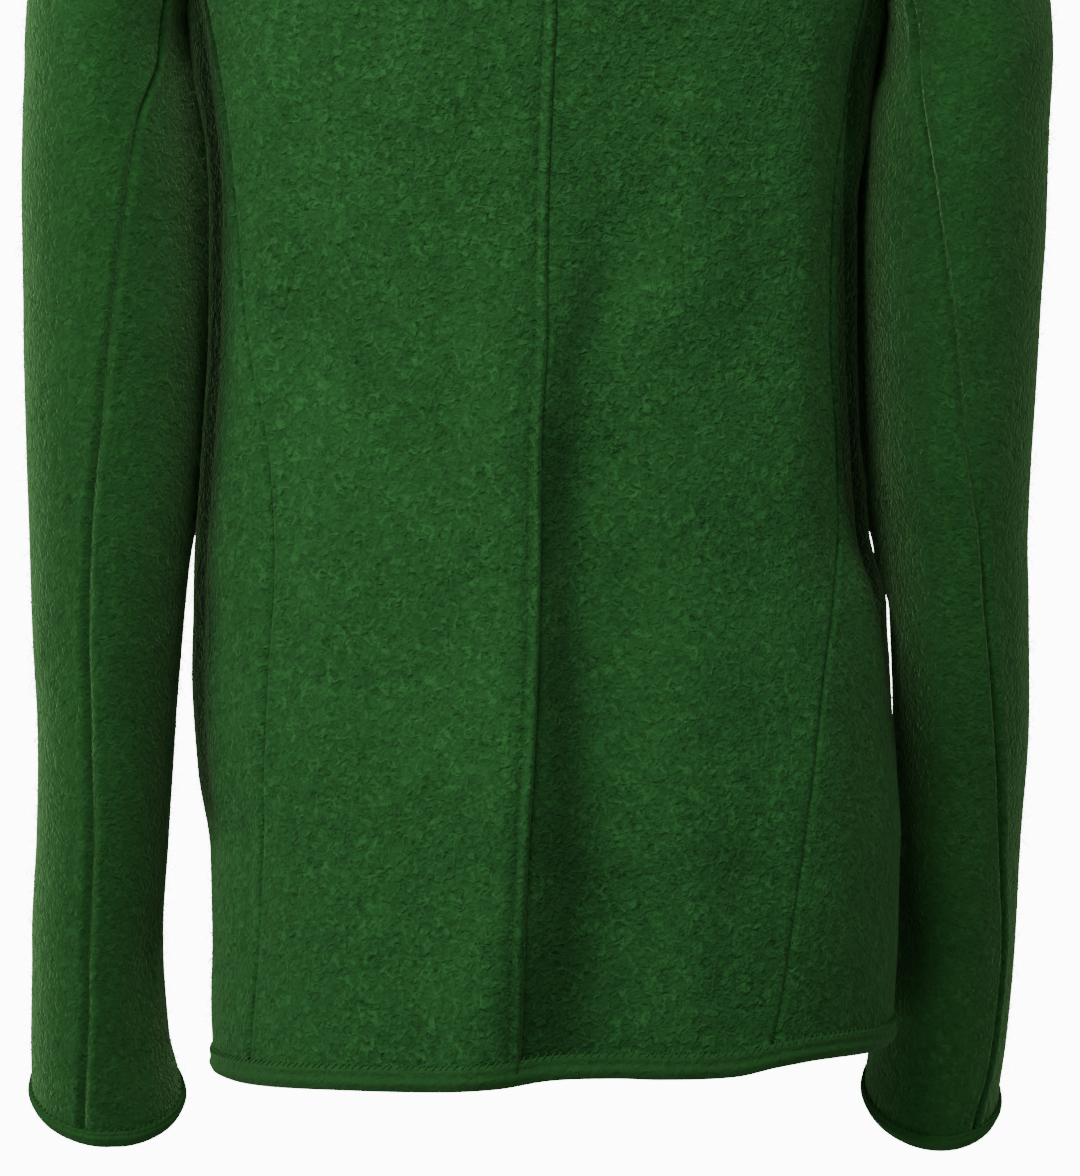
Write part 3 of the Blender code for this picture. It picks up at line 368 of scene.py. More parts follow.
def make_curves(rows):
    """Every column of a table over its first one, as curves that never overshoot."""
    rows = sorted(rows)
    heights = np.array([row[0] for row in rows], float)
    curves = {}
    for name in rows[0]._fields:
        values = np.array([getattr(row, name) for row in rows], float)
        steps = np.diff(values) / np.diff(heights)
        below, above = steps[:-1], steps[1:]
        agree = below * above > 0
        both = np.where(agree, below + above, 1.0)
        slopes = np.zeros(len(rows))
        slopes[1:-1] = np.where(agree, 2 * below * above / both, 0.0)
        curves[name] = (heights, values, slopes)
    return curves


def read(curves, name, height):
    heights, values, slopes = curves[name]
    height = np.asarray(height, float)
    low = np.clip(np.searchsorted(heights, height, side="right") - 1, 0, len(heights) - 2)
    span = heights[low + 1] - heights[low]
    share = np.clip((height - heights[low]) / span, 0.0, 1.0)
    square, cube = share ** 2, share ** 3
    return ((2 * cube - 3 * square + 1) * values[low]
            + (cube - 2 * square + share) * slopes[low] * span
            + (3 * square - 2 * cube) * values[low + 1]
            + (cube - square) * slopes[low + 1] * span)


BODY = make_curves(TORSO)
HEM = make_curves(HEM_WAVES)
SEAM = make_curves(SEAMS)
ARM = {name: make_curves(rows) for name, rows in SLEEVES.items()}
ARM_TOP = SLEEVES["left"][0].height
CUFF = {name: rows[-1].height for name, rows in SLEEVES.items()}


def fold_lift(folds, radius, angle, height):
    """Sum of the ridges and troughs at each place, angles in degrees."""
    total = np.zeros(np.broadcast(angle, height).shape)
    for fold in folds:
        along_x = radius * math.radians(fold.angle_2 - fold.angle_1)
        along_z = fold.height_2 - fold.height_1
        here_x = radius * np.radians((angle - fold.angle_1 + 180) % 360 - 180)
        here_z = height - fold.height_1
        length = math.hypot(along_x, along_z)
        share = (here_x * along_x + here_z * along_z) / length ** 2
        side = (here_x * along_z - here_z * along_x) / length
        ends = smooth(share / FOLD_FADE + 0.5) * smooth((1 - share) / FOLD_FADE + 0.5)
        total = total + fold.lift * ends * np.exp(-(side / fold.spread) ** 2)
    return total


def wander(place, seed):
    """A slow uneven wave between about -1 and 1 along a line of places in metres."""
    waves = ((61.0, 1.3), (137.0, 2.9), (251.0, 0.4), (407.0, 4.1))
    total = sum(np.sin(place * speed + start * (seed + 1)) for speed, start in waves)
    return total / 2.2


# ------------------------------------------------------------------ the body's tube

def body_point(angle, height):
    """A point of the tube at an angle, on rings that are squarer than an ellipse."""
    power = 2 / read(BODY, "squareness", height)
    depth = np.where(np.sin(angle) >= 0, read(BODY, "back", height), read(BODY, "front", height))
    lift = fold_lift(BODY_FOLDS, BODY_FOLD_RADIUS, np.degrees(angle), height)
    across = (read(BODY, "half_width", height) + lift) * signed_power(np.cos(angle), power)
    behind = (depth + lift) * signed_power(np.sin(angle), power)
    return np.stack(np.broadcast_arrays(read(BODY, "centre", height) + across, behind, height), -1)


def body_normal(angle, height):
    """The way straight out of the tube."""
    round_way = body_point(angle + ANGLE_STEP, height) - body_point(angle - ANGLE_STEP, height)
    up_way = body_point(angle, height + HEIGHT_STEP) - body_point(angle, height - HEIGHT_STEP)
    return unit(np.cross(round_way, up_way))


def angle_at(across, height, front=False):
    """Angle of the place on the back or the front at a distance from the centre."""
    share = (across - read(BODY, "centre", height)) / read(BODY, "half_width", height)
    share = np.clip(share, -1.0, 1.0)
    angle = np.arccos(signed_power(share, read(BODY, "squareness", height) / 2))
    return TURN - angle if front else angle


def seam_angle(name, height):
    return angle_at(read(SEAM, name, height), height, name.startswith("front"))


def tilted(height, angle):
    """Carries the hem's tilt and its waves up the body, fading out on the way."""
    share = (ARMPIT - height) / (ARMPIT - HEM_BACK)
    drop = HEM_TILT * read(BODY, "half_width", HEM_BACK) * np.cos(angle)
    wave = read(HEM, "lift", np.degrees(angle) % 360)
    return height - drop * smooth(share) + wave * smooth(1 - (height - HEM_BACK) / HEM_WAVE_REACH)


def shoulder_height(across, ahead, front):
    """Height of the body's surface at a place seen from above, between the neck and the chest."""
    low, high = np.full(np.shape(across), NECK_FRONT), np.full(np.shape(across), NECK_SIDE)
    for _ in range(HALVINGS):
        middle = (low + high) / 2
        depth = read(BODY, "front" if front else "back", middle)
        power = read(BODY, "squareness", middle)
        share = (across / read(BODY, "half_width", middle)) ** power + (ahead / depth) ** power
        low = np.where(share < 1, middle, low)
        high = np.where(share < 1, high, middle)
    return middle


def neck_line(side, front):
    """Heights and angles of the neck seam on one quarter, from the centre outwards."""
    dip = NECK_FRONT if front else NECK_BACK
    reach = read(BODY, "front" if front else "back", dip)
    turn = np.linspace(0, math.pi / 2, 80)
    across = NECK_HALF * np.sin(turn)
    heights = shoulder_height(across, np.maximum(reach * np.cos(turn), 0.0), front)
    heights[0], heights[-1] = dip, NECK_SIDE
    return np.maximum.accumulate(heights), angle_at(side * across, heights, front)


def armhole_height(turn):
    return blend(ARMPIT, SHOULDER, 0.5 + 0.5 * np.cos(turn))


def armhole_angle(turn, side):
    """Angle on the body of a place on the armhole, between -90 and 90 degrees on the left side."""
    height = armhole_height(turn)
    behind = np.sin(turn) >= 0
    reach = np.where(behind, ARMHOLE_BACK, ARMHOLE_FRONT)
    depth = np.where(behind, read(BODY, "back", height), read(BODY, "front", height))
    share = signed_power(reach * np.sin(turn) / depth, read(BODY, "squareness", height) / 2)
    angle = np.arcsin(share)
    return angle if side > 0 else math.pi - angle


def armhole_join(side, front):
    """Turn at which the seam beside the back, or beside the front, runs into the armhole."""
    name = ("front_" if front else "back_") + ("left" if side > 0 else "right")
    low, high = math.radians(100), math.pi
    for _ in range(HALVINGS):
        middle = (low + high) / 2
        turn = -middle if front else middle
        seam = math.cos(seam_angle(name, armhole_height(turn))) * side
        edge = math.cos(armhole_angle(turn, side)) * side
        low, high = (low, middle) if seam < edge else (middle, high)
    return -middle if front else middle


def side_name(side):
    return "left" if side > 0 else "right"


# ------------------------------------------------------------------ cloth from rows of points

def lengths_along(points, axis):
    """Distance from the first edge to every point of a grid, along its rows or its columns."""
    steps = np.linalg.norm(np.diff(points, axis=axis), axis=-1)
    start = np.zeros_like(np.take(steps, [0], axis=axis))
    return np.cumsum(np.concatenate([start, steps], axis=axis), axis=axis)


def columns_across(widths, count):
    """Distance of every column from the first edge: even, and close together at both edges."""
    widths = np.asarray(widths, float)[:, None]
    edge = np.array(EDGE_STEPS)[None] * np.minimum(1.0, widths / (3 * EDGE_STEPS[-1]))
    share = np.linspace(0, 1, count)[None, 1:-1]
    inner = blend(edge[:, -1:], widths - edge[:, -1:], share)
    return np.hstack([edge, inner, widths - edge[:, ::-1]])


def even_shares(width):
    """Columns across a piece of about this width, as shares of it."""
    return columns_across([width], int(width / CLOTH_STEP))[0] / width


def sewn_in(distance, sewn, place, seed):
    """How far the cloth's face moves out at a distance from a seam."""
    uneven = 1 + SEAM_WANDER * wander(place, seed)
    dip = sewn.dip * np.exp(-(distance / (sewn.dip_width * uneven)) ** 2)
    ridge = sewn.ridge * uneven * np.exp(-((distance - sewn.ridge_place) / sewn.ridge_width) ** 2)
    line = sewn.line * np.exp(-((distance - LINE_PLACE) / LINE_WIDTH) ** 2)
    return ridge - dip - line


def rounded_in(distance):
    """How far both faces of the cloth draw in towards a cut edge, to round it."""
    radius = WALL / 2 - 0.0001
    short = np.clip(radius - distance, 0.0, radius)
    return radius - np.sqrt(radius ** 2 - short ** 2)


def add_cloth(name, outer, inner, material):
    """A closed wall of cloth between two grids of points."""
    rows, columns = outer.shape[:2]
    count = rows * columns
    places = np.arange(count).reshape(rows, columns)
    faces = np.stack([places[:-1, :-1], places[:-1, 1:], places[1:, 1:], places[1:, :-1]], -1)
    faces = faces.reshape(-1, 4)
    rim = np.concatenate([places[0], places[1:, -1], places[-1, -2::-1], places[-2:0:-1, 0]])
    after = np.roll(rim, -1)
    edge = np.stack([after, rim, rim + count, after + count], -1)
    middle = (rows // 2, columns // 2)
    across = outer[middle[0], middle[1] + 1] - outer[middle]
    up = outer[middle[0] + 1, middle[1]] - outer[middle]
    faces = np.concatenate([faces, faces[:, ::-1] + count, edge])
    if np.dot(np.cross(across, up), outer[middle] - inner[middle]) < 0:
        faces = faces[:, ::-1]
    points = np.concatenate([outer.reshape(-1, 3), inner.reshape(-1, 3)])
    return add_piece(name, points, faces.tolist(), material)


def add_piece(name, points, faces, material, turned=False, creased=True):
    """A piece of the jacket; where its faces are laid in no order, they are turned outwards."""
    mesh = bpy.data.meshes.new(name)
    mesh.from_pydata(points.reshape(-1, 3).tolist(), [], faces)
    piece = bpy.data.objects.new(name, mesh)
    bpy.context.scene.collection.objects.link(piece)
    if turned:
        turn_faces_out(piece)
    mesh.shade_smooth()
    if creased:
        mesh.set_sharp_from_angle(angle=SHARP)
    mesh.materials.append(material)
    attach(piece, "root")
    return piece


def select_only(piece):
    for other in bpy.context.selected_objects:
        other.select_set(False)
    piece.select_set(True)
    bpy.context.view_layer.objects.active = piece


def turn_faces_out(piece):
    select_only(piece)
    bpy.ops.object.mode_set(mode="EDIT")
    bpy.ops.mesh.select_all(action="SELECT")
    bpy.ops.mesh.normals_make_consistent(inside=False)
    bpy.ops.object.mode_set(mode="OBJECT")


def declare_panel(node, outer):
    """Hides the solid that the panel stands for, and works out the size that it was cut to, which
    is not used.
    """
    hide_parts(node)
    across, along = np.diff(outer, axis=1)[:-1], np.diff(outer, axis=0)[:, :-1]
    area = np.linalg.norm(np.cross(across, along), axis=-1).sum()
    width = math.ceil(lengths_along(outer, 1)[:, -1].max() * 1000) / 1000
    length = math.ceil(lengths_along(outer, 0)[-1].max() * 1000) / 1000
    area = min(area, width * length)


# ------------------------------------------------------------------ body panels

def panel_heights(join):
    """Rows from the hem to the armhole, up the armhole, and over the shoulder."""
    lower = np.linspace(HEM_BACK + STRIP_TRIM, join, LOWER_ROWS)
    armhole = blend(join, SHOULDER, np.linspace(0, 1, ARMHOLE_ROWS) ** ARMHOLE_CROWD)[1:]
    shoulder = np.linspace(SHOULDER, NECK_SIDE, SHOULDER_ROWS)[1:]
    return np.concatenate([lower, armhole, shoulder])


def outer_edge(side, seam, join, heights, front):
    """Angles of a panel's outer edge: up its seam, the armhole and the shoulder."""
    share = np.clip((heights - ARMPIT) / (SHOULDER - ARMPIT), 0.0, 1.0)
    turn = np.arccos(2 * share - 1) * (-1 if front else 1)
    armhole = armhole_angle(turn, side)
    if front and side > 0:
        armhole = armhole + TURN
    return np.where(heights < join, seam_angle(seam, heights), armhole)


def inner_edge(below, line, heights):
    """Angles of a panel's centre edge: up its seam or free edge, then along the neck."""
    neck_heights, neck_angles = line
    return np.where(heights < neck_heights[0], below(heights),
                    np.interp(heights, neck_heights, neck_angles))


def lay_panel(start, end, heights):
    """Angles and heights of a panel's points between two edges, and distances from both."""
    angles = blend(start[:, None], end[:, None], np.linspace(0, 1, FINE)[None])
    lengths = lengths_along(body_point(angles, tilted(heights[:, None], angles)), 1)
    widths = lengths[:, -1]
    columns = columns_across(widths, int(widths.max() / CLOTH_STEP))
    laid = np.array([np.interp(*row) for row in zip(columns, lengths, angles)])
    return laid, tilted(heights[:, None], laid), columns, widths[:, None] - columns


def body_creases(angle, height):
    return fold_lift(BODY_CREASES, BODY_FOLD_RADIUS, np.degrees(angle), height)


def finish_panel(name, angles, heights, raised, drawn=0.0, inset=False, shade_share=1.0):
    """Moves the laid points out and in to both faces of the cloth, and closes the wall."""
    points, normals = body_point(angles, heights), body_normal(angles, heights)
    if inset:
        points = points - normals * inset_at(points)[..., None]
    points = points + normals * body_creases(angles, heights)[..., None]
    outer = points + normals * (raised - drawn)[..., None]
    inner = points + normals * (INSIDE * raised - WALL + drawn)[..., None]
    piece = add_cloth(name, outer, inner, wool)
    # painted shade: darkness for the deep creases and beside the sleeves, kept on the cloth's
    # points
    shade = fold_lift(SHADED_WOOL, BODY_FOLD_RADIUS, np.degrees(angles), heights)
    shade = (np.clip(shade, 0.0, 1.0) * shade_share).ravel()
    layer = piece.data.attributes.new("shade", "FLOAT", "POINT")
    layer.data.foreach_set("value", np.concatenate([shade, shade]))
    return piece, outer


def inset_at(points):
    """How far the left front lies inside the tube near the centre."""
    start = OVERLAP + INSET_CLEAR + INSET_RUN
    return UNDER_INSET * smooth((start - points[..., 0]) / INSET_RUN)


def make_back(side):
    """Half of the back. Along the centre seam the left half stands over the right one."""
    name = side_name(side)
    join = armhole_height(armhole_join(side, False))
    heights = panel_heights(join)
    start = inner_edge(lambda h: seam_angle("centre_back", h), neck_line(side, False), heights)
    end = outer_edge(side, "back_" + name, join, heights, False)
    angles, places, from_start, from_end = lay_panel(start, end, heights)
    sewn = CENTRE_RAISED if side > 0 else CENTRE_FLAT
    centre = sewn_in(from_start, sewn, places, 1)
    step = STEP * smooth((STEP_TOP - places) / (STEP_TOP - STEP_FULL))
    run = sewn.dip_width if side > 0 else STEP_WIDTH
    centre = centre - step * np.exp(-(from_start / run) ** 2)
    neck = sewn_in(from_start, PLAIN_SEAM, angles, 2)
    raised = np.where(heights[:, None] < NECK_BACK, centre, neck)
    raised = raised + sewn_in(from_end, PLAIN_SEAM, places, 3 + side)
    low_down = smooth((SHADED_BOTH_TOP - places) / SHADED_BOTH_FADE)
    piece, outer = finish_panel("back_panel_" + name, angles, places, raised,
                                shade_share=low_down if side > 0 else 1.0)
    declare_panel("back_" + name, outer)


def make_front(side):
    """One front, with a free edge past the centre; the left one lies under the right one."""
    name = side_name(side)
    join = armhole_height(armhole_join(side, True))
    heights = panel_heights(join)
    line_heights, line_angles = neck_line(side, True)
    corner = NECK_FRONT - NECK_DROP
    free = lambda h: angle_at(-side * OVERLAP, h, True)
    line = (np.insert(line_heights, 0, corner), np.insert(line_angles, 0, free(corner)))
    start = inner_edge(free, line, heights)
    end = outer_edge(side, "front_" + name, join, heights, True)
    angles, places, from_start, from_end = lay_panel(start, end, heights)
    neck = heights[:, None] >= NECK_FRONT
    raised = np.where(neck, sewn_in(from_start, PLAIN_SEAM, angles, 4), 0.0)
    raised = raised + sewn_in(from_end, PLAIN_SEAM, places, 6 + side)
    drawn = np.where(neck, 0.0, rounded_in(from_start))
    piece, outer = finish_panel("front_panel_" + name, angles, places, raised, drawn, side > 0)
    declare_panel("front_" + name, outer)


def make_side(side):
    """The side panel, whose top follows the lower armhole."""
    name = side_name(side)
    back_turn, front_turn = armhole_join(side, False), armhole_join(side, True) + TURN
    turns = np.linspace(back_turn, front_turn, 400)
    tops = armhole_height(turns)
    shares = side_share(name, side, armhole_angle(turns, side), tops)
    wanted = even_shares(SIDE_WIDTH)
    turns = np.interp(wanted, shares, turns)
    tops = armhole_height(turns)
    rise = np.concatenate([np.linspace(0, 1, LONG_ROWS)[:-3], 1 - np.array(SIDE_TOP_ROWS)])
    heights = blend(HEM_BACK + STRIP_TRIM, tops[None], rise[:, None])
    back, front = side_edges(name, side, heights)
    angles = blend(back, front, wanted[None])
    places = tilted(heights, angles)
    laid = body_point(angles, places)
    from_back = lengths_along(laid, 1)
    from_front = from_back[:, -1:] - from_back
    from_top = lengths_along(laid[::-1], 0)[::-1]
    raised = sewn_in(from_back, PLAIN_SEAM, places, 3 + side)
    raised = raised + sewn_in(from_front, PLAIN_SEAM, places, 6 + side)
    raised = raised + sewn_in(from_top, PLAIN_SEAM, angles, 8)
    piece, outer = finish_panel("side_panel_" + name, angles, places, raised)
    declare_panel("side_" + name, outer)


def side_edges(name, side, heights):
    """Angles of a side panel's edges, counted on through the side."""
    back, front = seam_angle("back_" + name, heights), seam_angle("front_" + name, heights)
    return back, front - TURN if side > 0 else front


def side_share(name, side, angle, height):
    back, front = side_edges(name, side, height)
    return (angle - back) / (front - back)


# ------------------------------------------------------------------ sleeves

def sleeve_point(name, turn, height):
    """A point of a sleeve; turn is 0 outside, a quarter turn behind and a half turn inside."""
    curves = ARM[name]
    lift = fold_lift(SLEEVE_FOLDS[name], SLEEVE_FOLD_RADIUS, np.degrees(turn), height)
    lift = lift + fold_lift(SLEEVE_CREASES[name], SLEEVE_FOLD_RADIUS, np.degrees(turn), height)
    across = (read(curves, "half_width", height) + lift) * np.cos(turn)
    behind = (read(curves, "half_depth", height) + lift) * np.sin(turn)
    drop = behind * np.tan(np.radians(read(curves, "tilt", height)))
    cuff = CUFF_DROPS[name]
    low = blend(cuff.inner, cuff.outer, 0.5 + 0.5 * np.cos(turn))
    drop = drop + low * smooth(1 - (height - CUFF[name]) / cuff.reach)
    return np.stack(np.broadcast_arrays(SIGN[name] * (read(curves, "centre", height) + across),
                                        behind - read(curves, "forward", height),
                                        height - drop), -1)


def hermite(start, end, leave, land, share):
    square, cube = share ** 2, share ** 3
    return (start * (2 * cube - 3 * square + 1) + leave * (cube - 2 * square + share)
            + end * (3 * square - 2 * cube) + land * (cube - square))


def cap_start(side, turn):
    """Where the sleeve leaves the armhole, and the way that it sets off."""
    angle, height = armhole_angle(turn, side), armhole_height(turn)
    point, normal = body_point(angle, height), body_normal(angle, height)
    ahead, behind = [body_point(armhole_angle(place, side), armhole_height(place))
                     for place in (turn + ANGLE_STEP, turn - ANGLE_STEP)]
    into = unit(np.cross(ahead - behind, normal)) * side
    over = np.maximum(np.cos(turn), 0) ** 2
    under = np.maximum(-np.cos(turn), 0) ** 2
    beside = np.sin(turn) ** 2
    away = np.zeros_like(into)
    for share, way in ((over, CAP_OVER), (beside, CAP_BESIDE), (under, CAP_UNDER)):
        set_off = into * way.along + np.array([side * way.sideways, 0.0, -way.down])
        away = away + share[:, None] * set_off
    return point, unit(away)


def sleeve_half(side, upper, shares):
    """Grid of the top or the under sleeve, from the armhole to the cuff."""
    name = side_name(side)
    curves = ARM[name]
    back, front = armhole_join(side, False), armhole_join(side, True)
    corners = blend(front, back, shares) if upper else blend(back, front + TURN, shares)
    start, away = cap_start(side, corners)
    heights = np.linspace(ARM_TOP, CUFF[name] + STRIP_TRIM, LONG_ROWS)[:, None]
    back_seam = np.radians(read(curves, "back_seam", heights))
    front_seam = np.radians(read(curves, "front_seam", heights))
    if upper:
        turns = blend(front_seam - TURN, back_seam, shares[None])
    else:
        turns = blend(back_seam, front_seam, shares[None])
    arm = sleeve_point(name, turns, heights)
    end = arm[0]
    reach = np.linalg.norm(end - start, axis=-1, keepdims=True)
    leave = away * np.maximum(CAP_LEAVE * reach, CAP_LEAVE_LEAST)
    land = np.array([0.0, 0.0, -CAP_LAND]) * reach
    steps = (np.linspace(0, 1, CAP_ROWS) ** CAP_CROWD)[:-1, None, None]
    cap = hermite(start[None], end[None], leave[None], land[None], steps)
    return np.concatenate([cap, arm])


def ring_normals(rings, side):
    """Outward normals of closed rings of points."""
    after, before = np.roll(rings, -1, axis=1), np.roll(rings, 1, axis=1)
    round_way = unit(after - rings) + unit(rings - before)
    down = np.concatenate([rings[1:2] - rings[:1], rings[2:] - rings[:-2],
                           rings[-1:] - rings[-2:-1]])
    return unit(np.cross(round_way, -down)) * side


def make_sleeve(side):
    """Both halves of a sleeve, laid as one ring so that they meet at both seams."""
    name = side_name(side)
    shares = even_shares(SLEEVE_WIDTH)
    halves = [sleeve_half(side, upper, shares) for upper in (True, False)]
    split = len(shares) - 1
    rings = np.concatenate([halves[0][:, :-1], halves[1][:, :-1]], axis=1)
    normals = ring_normals(rings, side)
    half_normals = [normals[:, :split + 1],
                    np.concatenate([normals[:, split:], normals[:, :1]], axis=1)]
    names = ("top_sleeve_", "under_sleeve_")
    for index, (grid, ways) in enumerate(zip(halves, half_normals)):
        from_first = lengths_along(grid, 1)
        from_last = from_first[:, -1:] - from_first
        from_top = lengths_along(grid, 0)
        raised = sewn_in(from_first, SLEEVE_SEAM, grid[..., 2], 11 + side + index)
        raised = raised + sewn_in(from_last, SLEEVE_SEAM, grid[..., 2], 11 + side + 1 - index)
        raised = raised + sewn_in(from_top, PLAIN_SEAM, grid[..., 1], 15)
        outer = grid + ways * raised[..., None]
        inner = grid + ways * (INSIDE * raised - WALL)[..., None]
        piece = add_cloth(names[index] + "cloth_" + name, outer, inner, sleeve_wool)
        declare_panel(names[index] + name, outer)


# ------------------------------------------------------------------ folded strips on the edges

# Middle line of the strip's section, round from its outer edge to its inner one: distance out from
# the cloth's face, up from its fold, and the strip's thickness there.
StripPoint = namedtuple("StripPoint", "out up thick")
HEM_FOLD = named(StripPoint, [
    (0.00008, 0.0101, 0.0003),
    (0.00060, 0.0093, 0.0007),
    (0.00110, 0.0082, 0.0010),
    (0.00045, 0.0064, 0.0010),
    (0.00065, 0.0050, 0.0010),
    (0.00150, 0.0034, 0.0010),
    (0.00050, 0.0018, 0.0010),
    (0.00000, 0.0006, 0.0010),
    (-0.00125, -0.0003, 0.0010),
    (-0.00240, 0.0004, 0.0010),
    (-0.00305, 0.0018, 0.0010),
    (-0.00315, 0.0040, 0.0010),
    (-0.00312, 0.0070, 0.0009),
    (-0.00300, 0.0096, 0.0006),
])
SECTION_POINTS = 38
STRIP_FOOT = 0.0034      # only the strip above this is drawn out to its own height
STRIP_UNEVEN = 0.10      # how unevenly the hem's strip puffs out
STRIP_STEP = 0.0022      # from one column of a strip to the next
STRIP_GAP = 0.001        # least distance between the last column and the first, where it closes
HEM_LEFT_END = 0.75      # the hem's strip has come round to the left front at this share of it


def strip_section(height):
    """Closed section of the strip: out and up, on both faces of its middle line."""
    line = np.array(HEM_FOLD, float)
    up = line[:, 1]
    drawn_out = STRIP_FOOT + (up - STRIP_FOOT) * (height - STRIP_FOOT) / (HEM_BINDING - STRIP_FOOT)
    line[:, 1] = np.where(up > STRIP_FOOT, drawn_out, up)
    lengths = lengths_along(line[None, :, :2], 1)[0]
    places = np.linspace(0, lengths[-1], SECTION_POINTS)
    line = np.stack([np.interp(places, lengths, line[:, i]) for i in range(3)], -1)
    for _ in range(3):
        line[1:-1] = (line[:-2] + 2 * line[1:-1] + line[2:]) / 4
    line, thick = line[:, :2], line[:, 2:]
    ways = unit(np.gradient(line, axis=0))
    out = np.stack([-ways[:, 1], ways[:, 0]], -1) * thick / 2
    return np.concatenate([line - out, (line + out)[::-1]])


def sweep_strip(section, place_at, count, uneven=0.0):
    """Points of a strip: its section at every column of the edge that it is folded over."""
    rows = []
    down = unit(place_at(0.0)[0] - place_at(HEIGHT_STEP)[0])
    for out, up in section:
        points, normals = place_at(max(up, 0.0))
        puff = out * (1 + STRIP_UNEVEN * uneven) if out > 0 else out
        puff = np.broadcast_to(puff, (count,))[:, None]
        rows.append(points + normals * puff + down * max(-up, 0.0))
    return np.stack(rows, 1)


def strip_faces(columns, around, closed):
    """Faces of a swept section, with flat ends where it is open."""
    last = columns if closed else columns - 1
    faces = []
    for i in range(last):
        here, after = i * around, ((i + 1) % columns) * around
        for j in range(around):
            k = (j + 1) % around
            faces.append((here + j, here + k, after + k, after + j))
    if not closed:
        half = around // 2
        for start in (0, (columns - 1) * around):
            for j in range(half - 1):
                a, b = start + j, start + j + 1
                faces.append((a, b, start + around - 2 - j, start + around - 1 - j))
    return faces


def add_strip(name, points, closed):
    faces = strip_faces(*points.shape[:2], closed)
    piece = add_piece(name, points, faces, binding, turned=True)
    return piece


def hem_angles():
    """Angles round the hem, from the right front's edge under the arm, over the back and on to
    the left front's edge, about every 2 mm."""
    start = angle_at(OVERLAP, HEM_BACK, True)
    finish = angle_at(-OVERLAP, HEM_BACK, True) - TURN
    angles = np.linspace(start, finish, FINE_ROUND)
    lengths = lengths_along(body_point(angles, tilted(HEM_BACK, angles))[None], 1)[0]
    return np.interp(np.arange(0, lengths[-1], STRIP_STEP), lengths, angles), lengths[-1]


def hem_place(angles, passed):
    """Gives points and normals of the hem at a height above its cut edge."""
    def place_at(up):
        heights = tilted(HEM_BACK + up, angles)
        points, normals = body_point(angles, heights), body_normal(angles, heights)
        under = np.where(passed > HEM_LEFT_END, inset_at(points), 0.0)
        return points + normals * (body_creases(angles, heights) - under)[:, None], normals
    return place_at


def make_hem():
    angles, length = hem_angles()
    passed = np.linspace(0, 1, len(angles))
    place_at = hem_place(angles, passed)
    uneven = wander(passed * length, 5)
    points = sweep_strip(strip_section(HEM_BINDING), place_at, len(angles), uneven)
    piece = add_strip("hem_strip", points, False)
    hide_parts("hem_binding")
    make_stitches("hem_stitches", place_at, HEM_BINDING, length, 3, -STITCH_LEAN)


def cuff_turns(name):
    """Turns round the cuff about every 2 mm, from the front seam round outside and back."""
    turns = np.linspace(0, TURN, FINE_ROUND)
    lengths = lengths_along(sleeve_point(name, turns, CUFF[name])[None], 1)[0]
    places = np.arange(0, lengths[-1] - STRIP_GAP, STRIP_STEP)
    return np.interp(places, lengths, turns), lengths[-1]


def cuff_place(name, turns):
    """Gives points and normals of a cuff at a height above its cut edge."""
    end = CUFF[name]
    up_way = sleeve_point(name, turns, end + HEIGHT_STEP) - sleeve_point(name, turns, end)

    def place_at(up):
        points = sleeve_point(name, turns, end + up)
        round_way = sleeve_point(name, turns + ANGLE_STEP, end + up) - points
        return points, unit(np.cross(round_way, up_way)) * SIGN[name]
    return place_at


def make_cuff(side):
    name = side_name(side)
    turns, length = cuff_turns(name)
    place_at = cuff_place(name, turns)
    points = sweep_strip(strip_section(CUFF_BINDING), place_at, len(turns))
    piece = add_strip("cuff_strip_" + name, points, True)
    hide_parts("cuff_binding_" + name)
    make_stitches("cuff_stitches_" + name, place_at, CUFF_BINDING, length, 5)


STITCH_PITCH = 0.0033    # from one slanting stitch to the next
STITCH_BELOW = 0.0012    # how far a stitch reaches below and above the strip's upper edge
STITCH_ABOVE = 0.0014
STITCH_LEAN = 0.0010     # how far its upper end leans along the strip
THREAD = 0.00026         # its radius
NO_THREAD_WAY = (0.31, 0.17, 0.94)    # no thread runs this way, so each can be turned about it


def make_stitches(name, place_at, strip_height, length, seed, lean=STITCH_LEAN):
    """Slanting stitches over the strip's upper edge, drawn into the felt at both ends."""
    outs = (0.0002, 0.0012, 0.0010, 0.0003, -0.0005)
    ups = np.array([-STITCH_BELOW, -0.6 * STITCH_BELOW, 0.0, 0.6 * STITCH_ABOVE, STITCH_ABOVE])
    count = int(length / STITCH_PITCH)
    chance = np.random.default_rng(seed)
    middle = (np.arange(count) + 0.5 + chance.uniform(-0.12, 0.12, count)) * STITCH_PITCH
    tall = chance.uniform(0.85, 1.12, count)
    paths = []
    for out, up in zip(outs, ups):
        points, normals = place_at(strip_height + up)
        lengths = lengths_along(points[None], 1)[0]
        share = middle / length + up * tall * lean / STITCH_ABOVE / length
        place = share * lengths[-1]
        points = points + normals * out
        paths.append(np.stack([np.interp(place, lengths, points[:, i]) for i in range(3)], -1))
    piece = add_threads(name, np.stack(paths, 1), THREAD, 6, thread)


